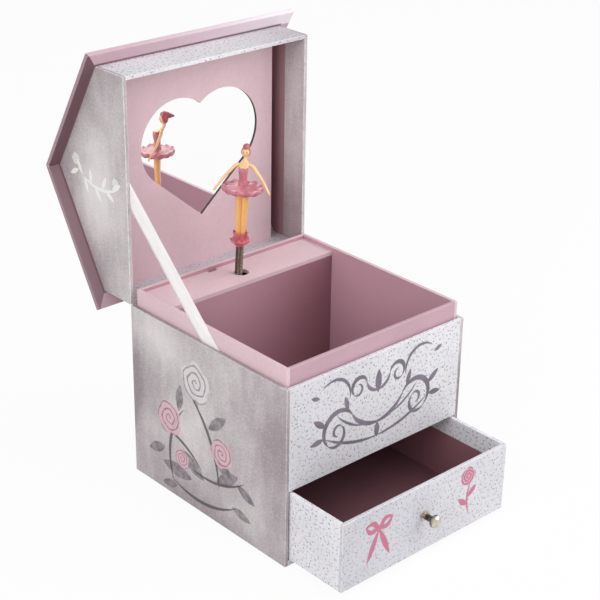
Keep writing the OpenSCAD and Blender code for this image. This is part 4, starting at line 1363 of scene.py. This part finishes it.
class MUSICBOX_OT_tutu(bpy.types.Operator):
    """Model the tutu with its ruffled rim"""

    bl_idname = "musicbox.tutu"
    bl_label = "Tutu"

    def execute(self, context):
        figure = context.scene.music_box_dancer
        count, rim, low = figure.frills, figure.tutu_width / 2, figure.height * TUTU_RISE
        under = ((rim * 0.62, 0.5), (rim * 0.8, 0.05), (rim * 0.92, 0.2), (rim * 0.99, 0.9))
        edge = ((rim, 1.8), (rim * 0.98, 2.7), (rim * 0.94, 2.9), (rim * 0.88, 2.5))
        upper = ((rim * 0.78, 2.1), (rim * 0.62, 2.1), (rim * 0.45, 2.3), (rim * 0.32, 2.7))
        profile = ((2.9, 1.0), (4.6, 0.8), *under, *edge, *upper, (2.5, 3.6))
        rings = turned_rings([(radius, low + rise) for radius, rise in profile])
        tutu = drawn("ruffled_tutu", rings, sides=count * 6)
        shaped(tutu, lambda x, y, z: ruffle(x, y, count, rim))
        rounded(tutu, levels=2)
        # Painted shade between the frills and close in by the waist.
        crease_shaded(tutu, lambda x, y, z: tutu_creases(x, y, count, rim))
        plastic = moulded("moulded_rose_tutu", figure.pink, 0.34, darker=0.66, coat=0.3, creases=0.8)
        placed(tutu, figure_place(figure), plastic, "dancer", "tutu_plastic", "tutu")
        return {"FINISHED"}


def ruffle(x, y, count, rim):
    """Deep waves at the rim, with finer pleats running out to them."""
    angle, reach = math.atan2(y, x), math.hypot(x, y)
    share = max(0, (reach - TUTU_WAIST) / (rim - TUTU_WAIST))
    wave = math.cos(count * angle) + 0.35 * math.cos(5 * angle + 1.3)
    pleat = math.cos(PLEATS_IN_FRILL * count * angle) * math.sin(math.pi * min(1, share))
    out = 0.03 * wave * share ** 2
    return x * out, y * (1 + out) * TUTU_DEPTH - y, 0.55 * wave * share ** 3 + 0.2 * pleat


def tutu_creases(x, y, count, rim):
    """How deep a place lies between two frills and close in by the waist, from 0 to 1, for the painted shade
    there.
    """
    angle, share = math.atan2(y / TUTU_DEPTH, x), math.hypot(x, y / TUTU_DEPTH) / rim
    low = 0.5 - 0.5 * math.cos(count * angle) * min(1, share ** 2)
    return 0.55 * low * min(1, max(0, share - 0.35) * 3) + 0.45 * max(0, 1 - share * 2.2)


class MUSICBOX_OT_bodice(bpy.types.Operator):
    """Model the bodice and its neckline"""

    bl_idname = "musicbox.bodice"
    bl_label = "Bodice"

    def execute(self, context):
        figure = context.scene.music_box_dancer
        low, top = figure.height * WAIST_RISE, figure.height * BUST_RISE
        stations = [
            (2.9, 2.5, 0, 0.2, low - 0.6), (2.4, 2.0, 0, 0.3, low + 0.4), (2.15, 1.75, 0, 0.3, low + 2),
            (2.1, 1.75, 0, 0.25, low + 3.6), (2.3, 2.0, 0, 0.1, low + 5.6),
            (2.55, 2.4, 0, 0.05, top - 2), (2.6, 2.45, 0, 0.2, top - 0.8),
            (2.62, 2.47, 0, 0.2, top - 0.3), (2.5, 2.35, 0, 0.2, top), (2.2, 2.05, 0, 0.25, top - 0.05)]
        bodice = drawn("laced_bodice", stations, sides=40)

        def neckline(x, y, z):
            return 0, 0, 0.35 * math.cos(2 * math.atan2(x, -y)) * max(0, z - top + 1)

        rounded(shaped(bodice, neckline))
        plastic = moulded("moulded_rose_bodice", scaled(figure.pink, 0.88), 0.3, darker=0.75)
        placed(bodice, figure_place(figure), plastic, "dancer", "tutu_plastic", "bodice")
        return {"FINISHED"}


class MUSICBOX_OT_torso(bpy.types.Operator):
    """Model the shoulders, neck and arms"""

    bl_idname = "musicbox.torso"
    bl_label = "Shoulders and arms"

    def execute(self, context):
        figure = context.scene.music_box_dancer
        bust, shoulder = figure.height * BUST_RISE, figure.height * SHOULDER_RISE
        stations = [
            (2.3, 2.15, 0, 0.2, bust - 0.3), (2.45, 2.0, 0, 0.7, bust + 0.5),
            (2.6, 1.5, 0, 1.9, shoulder - 0.4), (2.35, 1.15, 0.1, 2.9, shoulder + 0.3),
            (1.5, 1.0, 0.15, 3.5, shoulder + 0.8), (0.98, 0.92, 0.2, 3.9, shoulder + 1.4),
            (0.86, 0.88, 0.25, 4.2, shoulder + 2.6), (0.9, 0.95, 0.3, 4.2, shoulder + 4.0)]
        torso = rounded(drawn("moulded_torso", stations, sides=32))
        skin = moulded("moulded_skin", figure.skin, 0.36, darker=0.9)
        placed(torso, figure_place(figure), skin, "dancer", "skin_plastic", "torso")
        pair = []
        for side in (-1, 1):
            pair.append(limb(f"arm_{side}", [(side * x, y, shoulder + z, thick) for x, y, z, thick in ARM]))
        arms = finished(joined("moulded_arms", *pair))
        placed(arms, figure_place(figure), skin, "dancer", "skin_plastic", "arms")
        return {"FINISHED"}


class MUSICBOX_OT_head(bpy.types.Operator):
    """Model the dancer's head and swept-up hair"""

    bl_idname = "musicbox.head"
    bl_label = "Head and hair"

    def execute(self, context):
        figure = context.scene.music_box_dancer
        middle = Vector((0.3, 3.8, figure.height * HEAD_RISE - 0.9)) * MM
        place = figure_place(figure) @ Matrix.Translation(middle)
        placed(skull(), place, painted_face(figure.skin), "dancer", "skin_plastic", "head")
        placed(swept_hair(), place, painted_hair(figure.hair), "dancer", "hair_plastic", "hair")
        return {"FINISHED"}


def mound(x, z, place, size, power=2):
    """1 at a place on the face, falling away over a size across and up."""
    across, up = (x - place[0]) / size[0], (z - place[1]) / size[1]
    return math.exp(-(across ** power + up ** power))


def skull():
    """An egg with its chin forward, shallow eye hollows, a small nose and lips."""
    alone()
    bpy.ops.mesh.primitive_uv_sphere_add(segments=56, ring_count=40, radius=1)
    piece = added("moulded_head")
    rounded(shaped(piece, face_shape))
    marked(piece, "painted_features", face_marks)
    return piece


def face_shape(x, y, z):
    """The shift from a ball of radius 1 to the head."""
    wide, deep, tall = HEAD_SIZE
    jaw, front = max(0, -z), max(0, -y)
    nose = 0.55 * mound(x, z, (0, -0.12), (0.11, 0.16)) * front
    chin = 0.22 * mound(x, z, (0, -0.82), (0.3, 0.2)) * front
    lips = 0.12 * mound(x, z, (0, -0.46), (0.2, 0.06)) * front
    hollow = sum(0.16 * mound(x, z, (side, 0.12), (0.17, 0.13)) for side in (-0.38, 0.38))
    forward = y * (deep - 0.2 * jaw) - y - nose - chin - lips + hollow * front
    return x * (wide - 0.35 * jaw) - x, forward, z * tall - z


def face_marks(*place):
    """Where the dark of the eyes and brows, the lips and the blush are painted, as red, green and blue."""
    x, y, z = (c / size for c, size in zip(place, HEAD_SIZE))
    ahead = 1 if y < 0 else 0
    side = abs(x)
    arched = z + 0.5 * (side - 0.38) ** 2
    eye = mound(side, z, (0.36, 0.1), (0.13, 0.075), power=4)
    brow = mound(side, arched, (0.38, 0.3), (0.17, 0.035), power=4)
    lips = mound(x, z, (0, -0.46), (0.17, 0.075), power=4)
    blush = 0.6 * mound(side, z, (0.55, -0.25), (0.2, 0.2))
    return ahead * max(eye, brow * 0.7), ahead * lips, ahead * blush


def swept_hair():
    """A cap over the crown and nape, drawn up over the forehead and back to a pointed bun."""
    alone()
    bpy.ops.mesh.primitive_uv_sphere_add(segments=48, ring_count=32, radius=1)
    parts = [added("swept_hair")]
    with editing():
        bpy.ops.mesh.bisect(
            plane_co=(0, -0.34, 0.36), plane_no=(0, -0.9, -0.44), clear_outer=True, use_fill=True)
        bpy.ops.mesh.select_all(action="SELECT")
        bpy.ops.transform.resize(value=(2.5, 2.65, 2.98), center_override=(0, 0, 0))
    for place, radius in BUN:
        alone()
        bpy.ops.mesh.primitive_uv_sphere_add(segments=24, ring_count=16, radius=radius, location=place)
        parts.append(bpy.context.active_object)
        bpy.ops.object.transform_apply(location=True)
    return finished(
        joined("swept_hair", *parts),
        ("REMESH", {"mode": "VOXEL", "voxel_size": 0.14, "use_smooth_shade": True}),
        ("SMOOTH", {"factor": 0.6, "iterations": 9}))


def painted_face(skin):
    """Skin with two dark eyes, brows and rose lips painted on it."""
    paint = Paint("painted_face")
    flow = paint.noise(paint.where(), 0.9, 2)
    painted = paint.node("ShaderNodeAttribute", {"attribute_name": "painted_features"})
    dark = paint.node("ShaderNodeSeparateColor", values={0: painted})
    shade = paint.mix(flow.ramp(0.3, 0.7), scaled(skin, 0.9), skin)
    shade = paint.mix(dark.other("Blue") * 0.5, shade, tone(236, 140, 120))
    shade = paint.mix(dark.other("Green"), shade, tone(196, 70, 74))
    shade = paint.mix(dark, shade, tone(64, 40, 34))
    return paint.finished(
        Base_Color=shade, Roughness=flow * 0.12 + 0.3, Normal=paint.bump(flow, 0.03, 0.5),
        Coat_Weight=0.4, **PLASTIC)


def painted_hair(tint):
    """Painted hair, darker between its locks."""
    paint = Paint("painted_hair")
    x, y, z = paint.parts(paint.where())
    locks = paint.noise(paint.joined(x * 3, y * 0.6, z * 2), 1, 4)
    shade = paint.mix(locks.ramp(0.35, 0.65), scaled(tint, 0.6), tint)
    return paint.finished(
        Base_Color=shade, Roughness=locks * 0.2 + 0.25, Normal=paint.bump(locks, 0.14), Coat_Weight=0.3)


# ---------- ribbon and hinge ----------
# The stay ribbon rises this far over this run, in millimetres. Its solid has the same slant.
STAY_RISE, STAY_RUN = 66.8, 69.9
RIB_PITCH = 0.5
THREAD_PITCH = 0.45
HINGE_BEND = 0.6  # radius of the hinge cloth's bend, in millimetres


class MUSICBOX_OT_ribbon(bpy.types.Operator):
    """Weave the satin ribbon that holds the lid"""

    bl_idname = "musicbox.ribbon"
    bl_label = "Stay ribbon"

    def execute(self, context):
        trim = context.scene.music_box_trim
        low, high = box("stay_ribbon")
        lean = math.atan2(STAY_RISE, STAY_RUN)
        width = trim.ribbon_width / MM
        foot = Vector(((low.x + high.x) / 2, low.y + width / 2 / math.sin(lean), low.z))
        head = Vector((foot.x, high.y, high.z - width / 2 / math.cos(lean)))
        length = (head - foot).length
        across = (0, -math.sin(lean), math.cos(lean))
        ribbon = band("satin_ribbon", [foot, head], width, 0.2, across, parts=72)
        placed(ribbon, Matrix(), satin(trim.ribbon, length), None, "ribbon_satin", "stay_ribbon")
        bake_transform(ribbon)
        return {"FINISHED"}


def satin(tint, length):
    """Fine weft ribs across, glossy floats along, and a corded selvedge on both sides."""
    paint = Paint("satin_weave")
    across, along = paint.weave_place()
    along = along * length
    ribs = (along * (2 * math.pi / RIB_PITCH)).math("SINE") * 0.5 + 0.5
    floats = paint.noise(paint.joined(across * 40, along * 0.25), 1, 3)
    selvedge = abs(across - 0.5).ramp(0.44, 0.46)
    clouds = paint.noise(paint.joined(across * 3, along * 0.08), 1, 3)
    shade = paint.mix(clouds.ramp(0.3, 0.7), scaled(tint, 0.93), tint)
    shade = paint.mix(selvedge * 0.35, shade, scaled(tint, 0.8))
    height = ribs * 0.5 + floats * 0.3 + selvedge * 0.6
    return paint.finished(
        Base_Color=shade, Roughness=floats * 0.2 + 0.34, Normal=paint.bump(height, 0.05, 0.7),
        Sheen_Weight=0.25)


class MUSICBOX_OT_hinge_cloth(bpy.types.Operator):
    """Glue the cloth hinge to the back of the case and under the lid"""

    bl_idname = "musicbox.hinge_cloth"
    bl_label = "Hinge cloth"

    def execute(self, context):
        low, high = box("hinge_strip")
        lid_low, lid_high = box("hinge_strip_lid")
        y, z = (low.y + high.y) / 2, (lid_low.z + lid_high.z) / 2
        route = [(0, y, low.z)]
        for degrees in range(0, 91, 15):
            turn = math.radians(degrees)
            back, down = HINGE_BEND - HINGE_BEND * math.cos(turn), HINGE_BEND - HINGE_BEND * math.sin(turn)
            route.append((0, y + back, z - down))
        route.append((0, lid_high.y, z))
        width = high.x - low.x
        length = sum((Vector(after) - Vector(before)).length for before, after in zip(route, route[1:]))
        cloth = band("hinge_cloth", route, width, 0.35, (1, 0, 0), parts=120)
        material = bookcloth(context.scene.music_box_trim.cloth, width, length)
        placed(cloth, Matrix(), material, None, "cloth_grey", "hinge_strip", "hinge_strip_lid")
        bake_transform(cloth)
        return {"FINISHED"}


def bookcloth(tint, width, length):
    """Plain weave, with slubs."""
    paint = Paint("grey_bookcloth")
    across, along = paint.weave_place()
    over, along = across * (width / THREAD_PITCH), along * (length / THREAD_PITCH)
    weave = (over * math.pi).math("SINE") * (along * math.pi).math("SINE") * 0.5 + 0.5
    slubs = paint.noise(paint.joined(over * 0.05, along), 1, 3)
    shade = paint.mix(weave * 0.5 + slubs * 0.5, scaled(tint, 0.7), tint)
    return paint.finished(
        Base_Color=shade, Roughness=slubs * 0.1 + 0.7, Normal=paint.bump(weave, 0.08, 0.8))


# ---------- add-on ----------
class MUSICBOX_PT_panel(bpy.types.Panel):
    """Lists the steps"""

    bl_idname = "MUSICBOX_PT_panel"
    bl_label = "Music box"
    bl_space_type = "VIEW_3D"
    bl_region_type = "UI"
    bl_category = "Music box"

    def draw(self, context):
        for step in STEPS:
            self.layout.operator(step.bl_idname)


STEPS = (
    MUSICBOX_OT_stage,
    MUSICBOX_OT_case_papers,
    MUSICBOX_OT_lid_papers,
    MUSICBOX_OT_drawer_papers,
    MUSICBOX_OT_metals,
    MUSICBOX_OT_coil_spring,
    MUSICBOX_OT_shoes,
    MUSICBOX_OT_legs,
    MUSICBOX_OT_tutu,
    MUSICBOX_OT_bodice,
    MUSICBOX_OT_torso,
    MUSICBOX_OT_head,
    MUSICBOX_OT_ribbon,
    MUSICBOX_OT_hinge_cloth,
)
GROUPS = {
    "music_box_stage": MusicBoxStage,
    "music_box_papers": MusicBoxPapers,
    "music_box_dancer": MusicBoxDancer,
    "music_box_trim": MusicBoxTrim,
}


def register():
    for group in GROUPS.values():
        bpy.utils.register_class(group)
    for step in (*STEPS, MUSICBOX_PT_panel):
        bpy.utils.register_class(step)
    for name, group in GROUPS.items():
        setattr(bpy.types.Scene, name, PointerProperty(type=group))


def unregister():
    for name in GROUPS:
        delattr(bpy.types.Scene, name)
    for step in (MUSICBOX_PT_panel, *reversed(STEPS)):
        bpy.utils.unregister_class(step)
    for group in reversed(GROUPS.values()):
        bpy.utils.unregister_class(group)


def main():
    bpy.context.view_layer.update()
    register()
    for step in STEPS:
        group, name = step.bl_idname.split(".")
        getattr(getattr(bpy.ops, group), name)()


if __name__ == "__main__":
    main()
